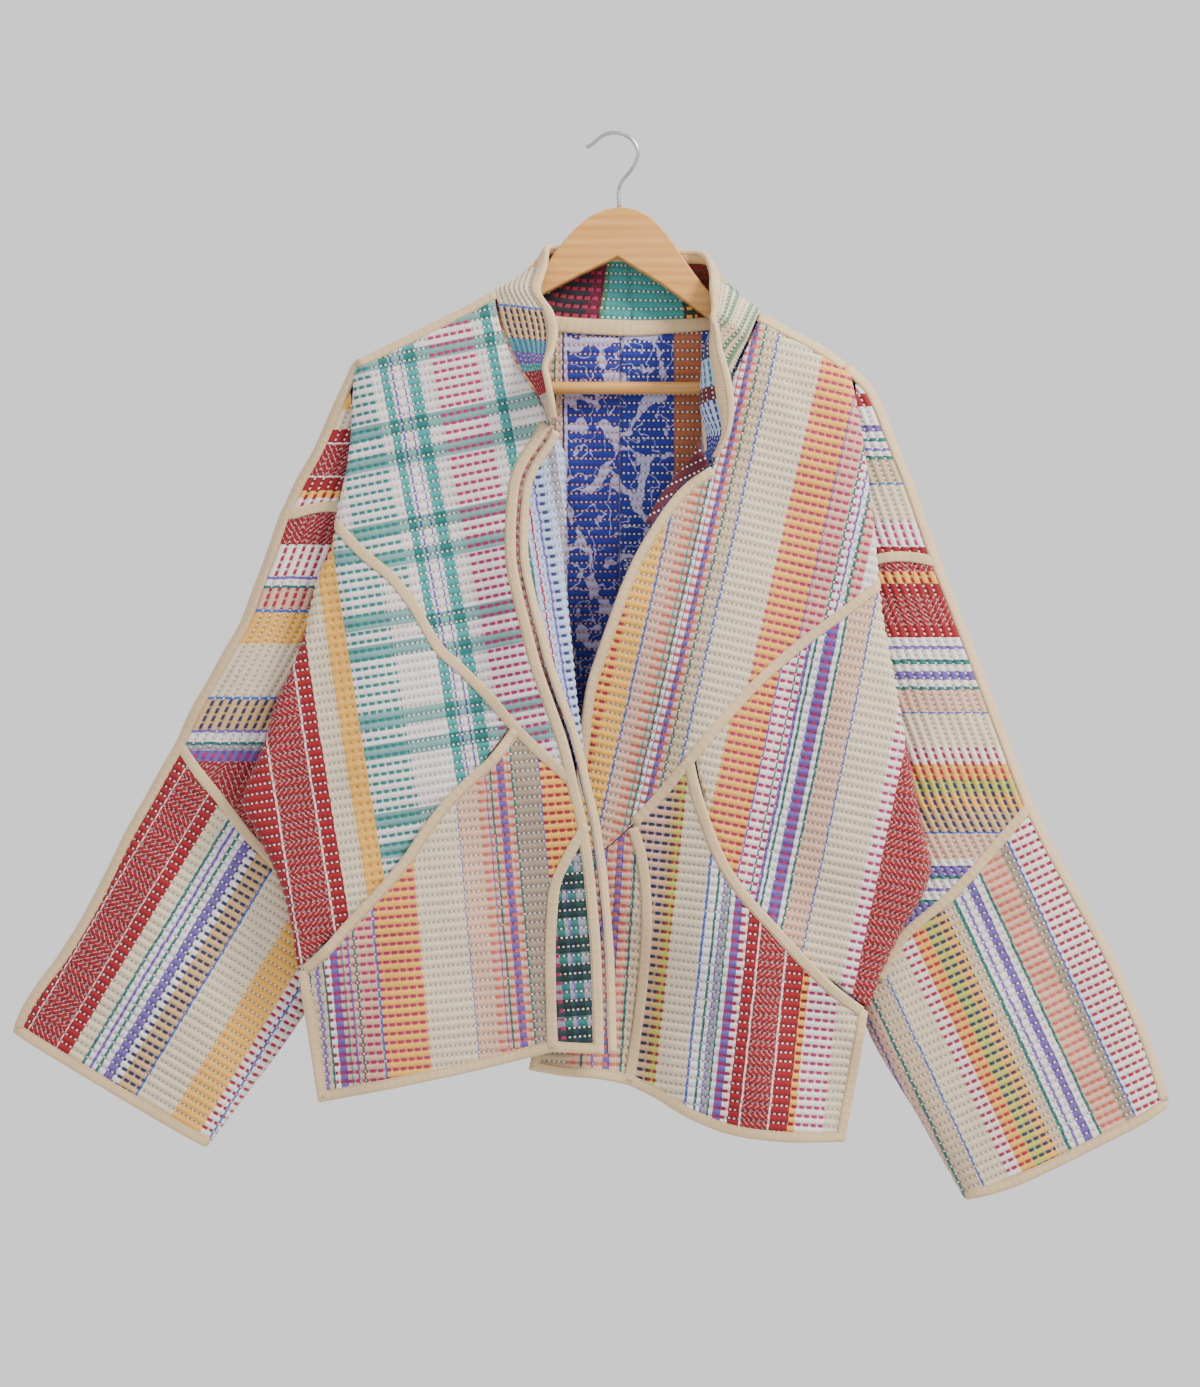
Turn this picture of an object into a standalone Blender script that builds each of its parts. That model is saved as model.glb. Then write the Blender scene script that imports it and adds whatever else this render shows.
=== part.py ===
"""A hip-length patchwork jacket of quilted cloth, open down the front, on a wooden clothes hanger.

The cloth is drawn as it hangs, seen from the front: every seam and edge is a short table of places in
millimetres from the point where the hanger's hook bears, x to the viewer's right and z up. Each cut piece
is a thin wall between four or more of those seams, and its depth comes from the functions below.
The viewer is on the -Y side.
"""

import math

import bpy
import numpy as np
from mathutils import Vector
from mathutils.bvhtree import BVHTree
from mathutils.geometry import delaunay_2d_cdt

# Driving dimensions, in millimetres
WALL = 2.4  # thickness of the quilted cloth
GAP = 0.3  # clear space at seams and under tapes
TAPE = 0.9  # thickness of the binding tape
TAPE_WIDTH = 9.0
BINDING_WIDTH = 8.0  # how far a bound edge's tape reaches over the cloth
RIDGE_LIFT = 9.5  # how far each layer stands off the shoulder and sleeve seams
RIDGE_REACH = 6.0
FRONT_DEPTH = 36.0  # how far the fronts hang before the hanger's middle
FOLD_RADIUS = 11.0  # roll where a front turns back over the sleeve
FOLD_TAIL = 5.0
FOLD_REST = 17.5  # how far before the hanger's middle a fold's turned-back cloth stays
FACING_RADIUS = 7.0
POCKET_LIFT = 7.0
POCKET_LAP = 13.0  # cloth carried on behind a pocket's mouth
BOARD = 14.0  # thickness of the hanger's arms
WIRE = 3.6
DOWEL = 11.0
CELL = 36.0  # usual spacing of the wall's points
SEAM_STEP = 18.0  # and along its seams
ROLL_STEP = 7.5  # and round its folds
BAND_STEP = 30.0  # spacing of stations along tapes and bindings

# Seams and edges of the hung jacket: places (x, z) in mm. "right" is the wearer's right.
SEAMS = {
    "right_shoulder": ((-103.6, -135), (-123.4, -146.2), (-153.5, -161.7), (-187.9, -178.9),
        (-224.9, -196.1)),
    "right_neck": ((-103.6, -135), (-101, -148.8), (-97, -167.7), (-90.1, -185.8), (-80.6, -206.1),
        (-68.4, -223.6), (-60, -239.1), (-52.9, -256.3)),
    "right_fold_high": ((-224.9, -196.1), (-226.2, -237.4), (-227.5, -266.6), (-232.6, -301),
        (-236.9, -320.8), (-239.5, -339.7)),
    "right_fold_low": ((-239.5, -339.7), (-244.7, -365.5), (-253.3, -380.1), (-259.3, -404.2),
        (-267.9, -440.3), (-278.2, -466.1), (-291.1, -493.6), (-302.3, -534.1), (-316.1, -566.7),
        (-319.5, -580.5), (-310.9, -596.8), (-299.7, -619.2), (-289.4, -641.6), (-280.8, -665.6),
        (-275.2, -693.2), (-271.3, -720.7)),
    "right_slant_high": ((-239.5, -339.7), (-212.2, -368), (-189.8, -386.6), (-175, -405.1),
        (-163.8, -424), (-148.8, -448.1), (-128.3, -466.8), (-107.9, -487.3), (-87.3, -511.7)),
    "right_slant_low": ((-87.3, -511.7), (-63.2, -535.8), (-33.1, -562.4)),
    "right_pocket": ((-87.3, -511.7), (-107.9, -539.2), (-128.6, -558.1), (-147, -576.8),
        (-165.6, -601.1), (-180.5, -623.5), (-205.1, -652.7), (-230.9, -680.3), (-254.1, -706.1),
        (-271.3, -720.7)),
    "right_edge_high": ((-52.9, -256.3), (-62.4, -272.6), (-71.8, -286.4), (-78.7, -301.9),
        (-81.7, -323.4), (-83, -349.2), (-82.1, -373.2), (-77.4, -397.8), (-68.5, -433.2),
        (-59.9, -464.9), (-49.4, -494.5), (-38, -528), (-31.4, -555.6), (-30.1, -562.4)),
    "right_edge_middle": ((-30.1, -562.4), (-26.7, -575.3), (-21.9, -596)),
    "right_edge_low": ((-21.9, -596), (-17.2, -626.9), (-13.3, -663.1), (-9.9, -706.1), (-8.4, -749.1),
        (-7.3, -793.8)),
    "right_upright": ((-21.9, -596), (-40, -626.9), (-48.6, -645.9), (-52.9, -680.3), (-53.8, -714.7),
        (-52, -792.1)),
    "right_hem_outer": ((-254.1, -837.6), (-183.6, -823), (-114.8, -808.4), (-52, -792.1)),
    "right_hem_inner": ((-52, -792.1), (-7.3, -793.8)),
    "right_vent": ((-271.3, -720.7), (-266.2, -755.9), (-254.1, -837.6)),
    "right_facing_fold": ((-49.4, -258.9), (-43.4, -276.1), (-41.7, -301.9), (-41.3, -336.3),
        (-40.9, -392.2), (-36, -440.3), (-32.2, -485), (-27.1, -521.2), (-20.2, -559.9),
        (-12.5, -594.3), (-6.9, -626.9), (-3, -663.1), (0.4, -706.1), (2.1, -749.1), (3, -792.1)),
    "right_overarm_high": ((-224.9, -196.1), (-238.7, -224.5), (-250.7, -252), (-263.6, -279.5),
        (-274.8, -299.3), (-290.2, -331.1)),
    "right_overarm_middle": ((-290.2, -331.1), (-298, -354.3), (-310.9, -388.7), (-323.8, -423.1),
        (-338.4, -448.9), (-351.3, -472.1), (-363.4, -492.8), (-378.8, -525.5)),
    "right_overarm_low": ((-378.8, -525.5), (-396, -556.4), (-423.6, -605.4), (-453.6, -665.6),
        (-483.8, -715.5), (-500.1, -737), (-513.9, -759.4), (-522.5, -778.3)),
    "right_cap": ((-290.2, -331.1), (-278.2, -330.2), (-265.3, -326.8), (-252.4, -324.2),
        (-238.7, -324.2), (-219.7, -331.1)),
    "right_elbow": ((-378.8, -525.5), (-359.9, -553), (-336.7, -581.4), (-313.5, -611.5),
        (-294.6, -630.4), (-281.6, -650.2), (-259.3, -684.6)),
    "right_elbow_end": ((-259.3, -684.6), (-249, -701.8), (-239.5, -719)),
    "right_cuff": ((-522.5, -778.3), (-467.4, -811.8), (-411.5, -845.4), (-352.2, -879.8)),
    "right_underarm": ((-239.5, -719), (-254.1, -743), (-269.6, -767.1), (-294.6, -803.2),
        (-319.5, -835.9), (-352.2, -879.8)),
    "right_armhole": ((-224.9, -196.1), (-226.6, -250.3), (-230.9, -319.1), (-239.5, -405.1),
        (-250.7, -491.1), (-256.7, -577.1), (-250.7, -663.1), (-239.5, -719)),
    "right_sleeve_hidden_high": ((-227, -222.7), (-225.8, -237.4), (-218, -258.9), (-214.6, -293.3),
        (-219.7, -331.1)),
    "right_sleeve_hidden_low": ((-219.7, -331.1), (-233.5, -405.1), (-254.1, -473.9), (-278.2, -542.7),
        (-291.1, -580.5), (-278.2, -620.1), (-259.3, -684.6)),
    "back_vent_right": ((-239.5, -719), (-243.8, -766.3), (-250.7, -827.3)),
    "back_hem_right": ((-250.7, -827.3), (-187.9, -823), (-149.2, -818.7), (-114.8, -813.6),
        (-68.4, -802.4), (5.6, -797.2)),
    "back_hem_left": ((5.6, -797.2), (74.4, -814.4), (143.2, -835.1), (201.7, -857.4)),
    "back_seam": ((5.6, -168.6), (5.6, -491.1), (5.6, -797.2)),
    "back_vent_left": ((213.7, -762), (210.3, -809.3), (201.7, -857.4)),
    "back_neck_right": ((-103.6, -135), (-87.3, -149.6), (-67.5, -160), (-46, -165.1), (5.6, -168.6)),
    "back_neck_left": ((5.6, -168.6), (40, -167.7), (78.7, -165.1), (104.5, -161.7), (127.7, -154.8)),
    "left_shoulder": ((127.7, -154.8), (160.4, -172), (186.2, -186.6), (203.4, -198.7)),
    "left_neck": ((127.7, -154.8), (117.4, -179.7), (110.5, -195.2), (105.3, -206.4), (97.6, -222.7),
        (89, -239.9), (83.8, -260.6), (83.8, -289.8)),
    "left_edge_high": ((83.8, -289.8), (62.4, -304.4), (45.1, -323.4), (33.1, -341.4), (20.2, -362.9),
        (7.3, -390.4), (-3, -418), (-13.3, -447.2), (-21.9, -473), (-27.9, -506.5), (-31.4, -542.7),
        (-35.7, -577.1), (-40.9, -635.5)),
    "left_edge_low": ((-40.9, -635.5), (-46, -667.4), (-58.9, -749.1), (-73.5, -810.1)),
    "left_facing_fold": ((73.5, -265.7), (66.7, -282.1), (51.2, -300.1), (35.7, -321.6),
        (26.2, -339.7)),
    "left_fold_high": ((203.4, -198.7), (210.3, -233.1), (217.2, -276.1), (222.3, -319.1),
        (226.6, -353.5), (229.2, -392.2)),
    "left_fold_low": ((229.2, -392.2), (232.6, -422.3), (240.4, -465.3), (249, -512.6),
        (259.3, -568.5), (267, -607.2), (273.1, -635.5), (267, -656.2), (250.7, -684.6),
        (234.3, -716.4), (218.9, -755.9)),
    "left_slant_high": ((229.2, -392.2), (194.8, -418), (160.4, -443.8), (126, -473.9), (95.9, -505.7),
        (69.2, -537.5)),
    "left_slant_low": ((69.2, -537.5), (44.3, -568.5), (15.9, -599.4)),
    "left_slant_end": ((15.9, -599.4), (-8.2, -620.1), (-40.9, -635.5)),
    "left_pocket": ((69.2, -537.5), (74.4, -564.2), (84.7, -596), (97.6, -626.9), (115.7, -654.5),
        (138.9, -680.3), (164.7, -708.6), (190.5, -734.4), (218.9, -755.9)),
    "left_upright": ((15.9, -599.4), (22.8, -620.1), (27.1, -645.9), (28.8, -671.7), (27.1, -714.7),
        (22.8, -757.7), (16.8, -800.7), (12.5, -823.9)),
    "left_hem_inner": ((-73.5, -810.1), (-46, -815.3), (-11.6, -818.7), (12.5, -823.9)),
    "left_hem_outer": ((12.5, -823.9), (35.7, -834.2), (61.5, -848.8), (91.6, -860.9), (143.2, -869.5),
        (199.1, -871.2)),
    "left_vent": ((218.9, -755.9), (212, -800.7), (199.1, -871.2)),
    "left_overarm_high": ((203.4, -198.7), (213.7, -207.3), (224, -217.6), (232.6, -233.1),
        (242.1, -257.1), (256.7, -293.3), (285.1, -373.2)),
    "left_overarm_middle": ((285.1, -373.2), (310.9, -439.5), (336.7, -508.3), (363.4, -579.6)),
    "left_overarm_low": ((363.4, -579.6), (385.7, -624.4), (409.8, -667.4), (433, -710.4),
        (450.2, -749.1), (468.3, -792.1), (483.8, -841.9)),
    "left_cap": ((285.1, -373.2), (263.6, -368.1), (242.1, -367.2), (224.9, -370.7), (208.5, -381)),
    "left_elbow": ((363.4, -579.6), (332.4, -615.8), (293.7, -658.8), (246.4, -701.8), (227.5, -736.2)),
    "left_elbow_end": ((227.5, -736.2), (220.6, -749.1), (213.7, -762)),
    "left_cuff": ((483.8, -841.9), (461.4, -856.6), (427, -874.6), (384, -896.1), (341, -915),
        (304.9, -925.4)),
    "left_facing_edge": ((83.8, -289.8), (62.4, -304.4), (45.1, -323.4), (33.1, -341.4)),
    "left_underarm": ((213.7, -762), (224.9, -787.8), (242.1, -817.9), (263.6, -852.3), (285.1, -891),
        (304.9, -925.4)),
    "left_armhole": ((203.4, -198.7), (212, -276.1), (217.2, -362.1), (227.5, -448.1), (236.1, -534.1),
        (237.8, -620.1), (229.2, -697.5), (213.7, -762)),
    "left_sleeve_hidden_high": ((209.4, -217.6), (209.4, -234.8), (203.4, -260.6), (203.4, -301.9),
        (208.5, -381)),
    "left_sleeve_hidden_low": ((208.5, -381), (217.2, -456.7), (230.9, -525.5), (244.7, -594.3),
        (249, -635.5), (240.4, -667.4), (227.5, -736.2)),
}

# Collar stations from one front corner round the neck to the other:
# seam (x, y, z), middle (x, y, z) and top edge (x, y, z), in mm
COLLAR = (
    ((-52.9, -40, -255.5), (-52.5, -47, -253.5), (-52.0, -54, -251.0)),
    ((-60.0, -39, -239.0), (-56.0, -50, -238.5), (-53.5, -60, -238.0)),
    ((-68.4, -37, -223.5), (-60.0, -51, -222.0), (-57.0, -61, -221.0)),
    ((-80.6, -35, -206.0), (-66.0, -50, -206.5), (-58.0, -58, -207.5)),
    ((-90.1, -31, -185.8), (-68.0, -43, -190.0), (-51.5, -52, -192.5)),
    ((-97.0, -25, -167.7), (-71.0, -36, -172.0), (-48.0, -45, -175.0)),
    ((-101.0, -15, -148.8), (-76.0, -29, -153.0), (-52.0, -37, -157.0)),
    ((-103.6, -3, -134.0), (-84.0, -20, -136.0), (-62.5, -28, -138.5)),
    ((-99.0, 5, -135.5), (-80.0, -6, -122.0), (-57.0, -16, -115.0)),
    ((-92.0, 11, -142.0), (-74.5, 3, -118.0), (-57.0, -9, -100.0)),
    ((-82.0, 14, -150.0), (-68.0, 11, -117.0), (-56.0, 3, -94.5)),
    ((-66.0, 17, -160.0), (-54.0, 17, -124.0), (-43.0, 15, -94.5)),
    ((-46.0, 19, -165.0), (-34.0, 19, -128.0), (-24.0, 18, -94.5)),
    ((15.0, 20, -168.2), (15.0, 21, -130.0), (15.0, 21, -95.5)),
    ((50.0, 19, -166.8), (47.0, 21, -131.0), (44.0, 20, -95.5)),
    ((78.7, 18, -164.8), (72.0, 19, -131.0), (64.0, 17, -96.5)),
    ((104.0, 15, -161.2), (91.0, 14, -130.0), (76.5, 8, -98.5)),
    ((120.0, 8, -155.5), (103.0, 4, -133.0), (82.0, -6, -109.0)),
    ((127.7, -3, -154.0), (108.0, -11, -139.0), (83.0, -17, -123.0)),
    ((123.5, -15, -165.0), (106.0, -24, -147.0), (82.5, -27, -136.5)),
    ((117.4, -24, -179.7), (99.0, -35, -164.0), (84.5, -37, -154.0)),
    ((114.0, -26, -187.5), (92.5, -37, -171.0), (86.0, -45, -163.5)),
    ((110.5, -28, -195.2), (86.5, -39, -178.5), (90.5, -50, -174.5)),
    ((105.3, -31, -206.4), (79.0, -40, -195.0), (94.0, -52, -191.5)),
    ((97.6, -33, -222.7), (77.5, -41, -215.0), (100.0, -56, -211.5)),
    ((89.0, -35, -239.9), (77.0, -43, -234.0), (103.5, -58, -229.0)),
    ((82.0, -36, -252.5), (81.0, -46, -249.5), (103.5, -58, -246.0)),
    ((79.5, -37, -264.0), (87.0, -49, -263.0), (99.3, -56, -263.5)),
    ((81.0, -38, -277.5), (86.0, -47, -277.5), (92.0, -52, -277.5)),
    ((82.6, -41, -285.0), (85.0, -45, -284.5), (88.0, -49, -284.0)),
)
COLLAR_MIDDLE = 13  # the station at the centre of the back

# Soft folds: side, foot (x, z) and head (x, z) of the crest in mm, half width, rise towards the viewer
FOLDS = (
    ("right", (-205, -560), (-215, -300), 34, 7.0),
    ("right", (-120, -520), (-150, -260), 30, -4.0),
    ("right", (-85, -800), (-60, -560), 32, -5.0),
    ("right", (-190, -820), (-150, -640), 45, 5.0),
    ("right", (-70, -480), (-95, -330), 24, 5.0),
    ("left", (120, -860), (110, -650), 38, 13.0),
    ("left", (10, -830), (30, -690), 26, -9.0),
    ("left", (60, -560), (115, -330), 34, 6.0),
    ("left", (150, -520), (160, -260), 32, -4.0),
    ("left", (190, -640), (205, -430), 34, 7.0),
    ("left", (-45, -790), (-25, -650), 24, -4.0),
    ("sleeve", (-300, -800), (-400, -560), 26, -3.5),
    ("sleeve", (-430, -790), (-330, -620), 30, 3.5),
    ("sleeve", (340, -880), (300, -680), 28, 3.5),
    ("sleeve", (420, -840), (380, -640), 30, -3.0),
    ("sleeve", (280, -560), (255, -400), 26, 3.5),
    ("sleeve", (-330, -500), (-285, -350), 24, 3.0),
    ("back", (-60, -800), (-40, -330), 42, 7.0),
    ("back", (70, -800), (60, -300), 40, 6.0),
    ("back", (-170, -790), (-150, -420), 40, -5.0),
    ("back", (165, -820), (150, -400), 42, -5.0),
    ("back", (5, -820), (10, -420), 30, -5.0),
    ("back", (-400, -740), (-340, -560), 34, 4.0),
    ("back", (380, -800), (330, -600), 34, 4.0),
)

# Pieces of cloth: the surface each is cut from and the seams round it. A seam with "-" runs backwards,
# "+" is carried round the roll of its fold, and "=" is carried on behind a pocket's mouth.
PANELS = {
    "front_upper_right": ("right", (
        "right_shoulder", "+right_fold_high", "right_slant_high", "right_slant_low",
        "-right_edge_high", "-right_neck")),
    "front_side_right": ("right", ("+right_fold_low", "=-right_pocket", "-right_slant_high")),
    "front_pocket_right": ("right", (
        "right_pocket", "right_vent", "right_hem_outer", "-right_upright",
        "-right_edge_middle", "-right_slant_low")),
    "front_centre_right": ("right", ("right_upright", "right_hem_inner", "-right_edge_low")),
    "facing_right": ("facing_right", (
        "right_edge_high", "right_edge_middle", "right_edge_low", "-+right_facing_fold")),
    "front_upper_left": ("left", (
        "left_shoulder", "+left_fold_high", "left_slant_high", "left_slant_low",
        "left_slant_end", "-left_edge_high", "-left_neck")),
    "front_side_left": ("left", ("+left_fold_low", "=-left_pocket", "-left_slant_high")),
    "front_pocket_left": ("left", (
        "left_pocket", "left_vent", "-left_hem_outer", "-left_upright", "-left_slant_low")),
    "front_centre_left": ("left", (
        "left_upright", "-left_hem_inner", "-left_edge_low", "-left_slant_end")),
    "facing_left": ("facing_left", ("left_facing_edge", "-left_facing_fold")),
    "sleeve_upper_right": ("sleeve", (
        "right_overarm_high", "right_cap", "-right_sleeve_hidden_high")),
    "sleeve_middle_right": ("sleeve", (
        "right_overarm_middle", "right_elbow", "-right_sleeve_hidden_low", "-right_cap")),
    "sleeve_lower_right": ("sleeve", (
        "right_overarm_low", "right_cuff", "-right_underarm", "-right_elbow_end", "-right_elbow")),
    "sleeve_upper_left": ("sleeve", (
        "left_overarm_high", "left_cap", "-left_sleeve_hidden_high")),
    "sleeve_middle_left": ("sleeve", (
        "left_overarm_middle", "left_elbow", "-left_sleeve_hidden_low", "-left_cap")),
    "sleeve_lower_left": ("sleeve", (
        "left_overarm_low", "left_cuff", "-left_underarm", "-left_elbow_end", "-left_elbow")),
    "back_right": ("back", (
        "-right_shoulder", "back_neck_right", "back_seam", "-back_hem_right",
        "-back_vent_right", "-right_armhole")),
    "back_left": ("back", (
        "back_neck_left", "left_shoulder", "left_armhole", "back_vent_left",
        "-back_hem_left", "-back_seam")),
    "sleeve_back_upper_right": ("back", (
        "right_overarm_high", "right_overarm_middle", "right_elbow", "right_elbow_end",
        "-right_armhole")),
    "sleeve_back_lower_right": ("back", (
        "right_overarm_low", "right_cuff", "-right_underarm", "-right_elbow_end", "-right_elbow")),
    "sleeve_back_upper_left": ("back", (
        "left_overarm_high", "left_overarm_middle", "left_elbow", "left_elbow_end",
        "-left_armhole")),
    "sleeve_back_lower_left": ("back", (
        "left_overarm_low", "left_cuff", "-left_underarm", "-left_elbow_end", "-left_elbow")),
}

# How far the cloth is drawn in from each kind of line, in mm
DRAWN_IN = {
    "seam": 0.4, "neck": 0.8, "shoulder": 1.4, "overarm": 1.4, "underarm": 0.5, "edge": 2.2, "hem": 1.5,
    "vent": 1.5, "cuff": 1.5, "left_edge": 1.5, "facing_edge": 1.5, "pocket": 2.6,
}

# The hanger: outlines of its arms, the dowel between them, and its hook, in mm
BOARD_TOP = (
    (-212.0, -205.5), (-204.0, -203.0), (-183.6, -193.5), (-149.2, -178.0), (-114.8, -161.5),
    (-100.2, -153.0), (-87.3, -143.5), (-74.4, -131.5), (-62.4, -119.0), (-53.9, -107.0),
    (-38.3, -88.0), (-17.2, -70.1), (5.1, -63.6), (28.8, -70.1), (46.0, -86.5), (61.5, -109.2),
    (77.0, -129.9), (91.6, -145.0), (108.8, -161.0), (130.3, -176.0), (160.4, -191.0),
    (183.0, -202.0), (191.0, -207.3), (198.2, -212.6))
BOARD_FOOT = (
    (206.0, -222.0), (206.0, -236.5), (194.0, -236.5), (194.0, -213.9), (180.0, -211.0),
    (160.4, -203.4), (126.0, -185.0), (77.8, -156.2), (40.0, -129.0), (3.9, -106.6),
    (-28.8, -122.1), (-58.9, -137.6), (-97.6, -163.0), (-140.6, -185.0), (-183.6, -205.0),
    (-204.2, -213.5), (-204.2, -227.0), (-215.5, -227.0), (-215.5, -212.0))
BAR_FROM = -203.8
BAR_TO = 193.6
BAR_LEVEL = -220.0
WIRE_LINE = (
    (5.1, -63.0), (5.1, -45.6), (6.5, -41.8), (15.7, -30.1), (21.1, -18.1), (20.9, -12.0),
    (15.7, -3.9), (7.7, 0.8), (0.0, 1.8), (-7.3, 0.3), (-13.3, -3.4), (-18.1, -8.0), (-23.6, -10.8))

MM = 0.001
EDGE = 0.5 * GAP + 0.75 * WALL  # a layer's outer face at a shoulder or sleeve seam, where it leans
ROLL_SENSE = {"right": -1, "left": 1, "facing_right": 1}  # which way x runs past a fold


def spline(points, step=SEAM_STEP):
    """A smooth line through the points, with a place about every step."""
    points = np.array(points, float)
    if len(points) == 2:
        points = np.array([points[0], points.mean(0), points[1]])
    chord = np.linalg.norm(np.diff(points, axis=0), axis=1)
    slope = np.diff(points, axis=0) / chord[:, None]
    inner = (slope[:-1] * chord[1:, None] + slope[1:] * chord[:-1, None]) / (chord[:-1] + chord[1:])[:, None]
    tangent = np.vstack([slope[:1], inner, slope[-1:]])
    line = []
    for k, length in enumerate(chord):
        t = np.linspace(0, 1, max(2, int(math.ceil(length / step)) + 1))[:-1, None]
        line.append(
            (2 * t**3 - 3 * t**2 + 1) * points[k] + (t**3 - 2 * t**2 + t) * length * tangent[k]
            + (3 * t**2 - 2 * t**3) * points[k + 1] + (t**3 - t**2) * length * tangent[k + 1])
    return np.vstack(line + [points[-1:]])


def evenly(line, step):
    """The same line with its places the same distance apart."""
    run = np.concatenate([[0], np.cumsum(np.linalg.norm(np.diff(line, axis=0), axis=1))])
    count = max(2, int(round(run[-1] / step)) + 1)
    at = np.linspace(0, run[-1], count)
    return np.column_stack([np.interp(at, run, line[:, k]) for k in range(line.shape[1])])


def join(*names):
    """Several seams end to end as one line."""
    parts = [LINES[n[1:]][::-1] if n[0] == "-" else LINES[n] for n in names]
    return np.vstack([parts[0]] + [p[1:] for p in parts[1:]])


def smooth(t):
    t = np.clip(t, 0, 1)
    return t * t * (3 - 2 * t)


def distance(line, x, z):
    """From each place (x, z) to the nearest part of a line."""
    start, step = line[:-1], np.diff(line, axis=0)
    square = (step**2).sum(1)
    best = np.full(x.shape, 1e9)
    for (sx, sz), (dx, dz), sq in zip(start, step, square):
        t = np.clip(((x - sx) * dx + (z - sz) * dz) / sq, 0, 1)
        best = np.minimum(best, np.hypot(x - sx - t * dx, z - sz - t * dz))
    return best


LINES = {name: spline(points) for name, points in SEAMS.items()}
RIDGES = {
    "right": ("right_shoulder", "right_overarm_high"),
    "left": ("left_shoulder", "left_overarm_high"),
    "sleeve": ("right_overarm_high", "right_overarm_middle", "right_overarm_low", "right_underarm",
               "left_overarm_high", "left_overarm_middle", "left_overarm_low", "left_underarm"),
    "back": ("right_overarm_high", "right_overarm_middle", "right_overarm_low", "right_underarm",
             "left_overarm_high", "left_overarm_middle", "left_overarm_low", "left_underarm",
             "right_shoulder", "left_shoulder"),
}


def folds(kind, x, z):
    """How far the soft folds stand towards the viewer, or away from the wall at the back."""
    rise = np.zeros(x.shape)
    for side, foot, head, half, height in FOLDS:
        if side != kind:
            continue
        dx, dz = head[0] - foot[0], head[1] - foot[1]
        length = math.hypot(dx, dz)
        along = ((x - foot[0]) * dx + (z - foot[1]) * dz) / length**2
        across = ((x - foot[0]) * dz - (z - foot[1]) * dx) / length
        fade = smooth((along + 0.25) / 0.45) * smooth((1.15 - along) / 0.5)
        rise += height * fade * np.exp(-(across / half) ** 2)
    return rise


def depth(kind, x, z):
    """y of a layer's outer face at each place, before any fold rolls it back."""
    side = kind.replace("facing_", "")
    reach = np.min([distance(LINES[n], x, z) for n in RIDGES[side]], axis=0)
    lift = RIDGE_LIFT * (1 - np.exp(-reach / RIDGE_REACH))
    if side == "sleeve":
        return -(EDGE + lift + folds("sleeve", x, z) * (1 - np.exp(-reach / 25)))
    if side == "back":
        trunk = 6 * smooth((x + 235) / 70) * smooth((215 - x) / 70) * smooth((-190 - z) / 150)
        return EDGE + lift + trunk + folds("back", x, z) * (1 - np.exp(-reach / 40))
    if side == "right":
        base = FRONT_DEPTH + 10 * smooth((x + 130) / 110)
        base = base - 8 * smooth((-700 - z) / 90) * smooth((-190 - x) / 70)
    else:
        base = FRONT_DEPTH - 15 * smooth((-400 - z) / 150) * smooth((90 - x) / 90)
        base = base - 8 * smooth((-740 - z) / 90) * smooth((x - 150) / 60)
    y = -(EDGE + lift + (base - EDGE - RIDGE_LIFT) * (1 - np.exp(-reach / 70)))
    y = y - folds(side, x, z) * (1 - np.exp(-reach / 40))
    if kind == "facing_right":
        y = y + 0.3 * distance(join("right_edge_high", "right_edge_middle", "right_edge_low"), x, z)
    if kind == "facing_left":
        y = y + 0.3 * distance(LINES["left_facing_edge"], x, z)
    return y


def make_roll(kind, line, largest, rest, foot_ramp, head_ramp, beside=None):
    """Where a layer folds back: z, x and radius along the fold, from the bottom up."""
    line = line[::-1]
    z, x = line[:, 1], line[:, 0]
    room = (-depth(kind, x - ROLL_SENSE[kind] * largest, z) - rest) / 2
    radius = np.clip(np.minimum(largest, room), 0, None)
    if beside is not None:
        width = np.abs(x - np.interp(z, beside[::-1, 1], beside[::-1, 0]))
        radius = np.clip(np.minimum(radius, 0.5 * (width - DRAWN_IN["edge"])), 0, None)
    if foot_ramp:
        radius = radius * np.clip((z - z[0]) / foot_ramp, 0, 1)
    if head_ramp:
        radius = radius * np.clip((z[-1] - z) / head_ramp, 0, 1)
    return z, x, radius


ROLLS = {
    "right": make_roll("right", join("right_fold_high", "right_fold_low"), FOLD_RADIUS, FOLD_REST, 60, 0),
    "left": make_roll("left", join("left_fold_high", "left_fold_low"), FOLD_RADIUS, FOLD_REST, 60, 0),
    "facing_right": make_roll(
        "facing_right", LINES["right_facing_fold"], FACING_RADIUS, FOLD_REST, 0, 20,
        join("right_edge_high", "right_edge_middle", "right_edge_low")),
}
LEAST_ROLL = 3.0


def roll_at(kind, z):
    zs, xs, radii = ROLLS[kind]
    return np.interp(z, zs, xs), np.interp(z, zs, radii)


def carried_round(kind, z):
    """How much further than its fold a layer's flat cloth reaches, along x."""
    radius = roll_at(kind, z)[1]
    return ((math.pi - 1) * radius + FOLD_TAIL) * smooth((radius - LEAST_ROLL) / 3.0)


def run_between(line):
    """How far each place on a line is from the nearer of its ends, along it."""
    run = np.concatenate([[0], np.cumsum(np.linalg.norm(np.diff(line, axis=0), axis=1))])
    return np.minimum(run, run[-1] - run)


def pocket_lift(kind, x, z):
    """A pocket's mouth stands off the cloth behind it."""
    line = LINES[kind + "_pocket"]
    ends = np.minimum(np.hypot(x - line[0, 0], z - line[0, 1]), np.hypot(x - line[-1, 0], z - line[-1, 1]))
    sewn = np.minimum(distance(LINES[kind + "_slant_low"], x, z), distance(LINES[kind + "_upright"], x, z))
    return POCKET_LIFT * np.exp(-distance(line, x, z) / 45) * smooth((ends - 4) / 26) * smooth(sewn / 30)


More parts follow.
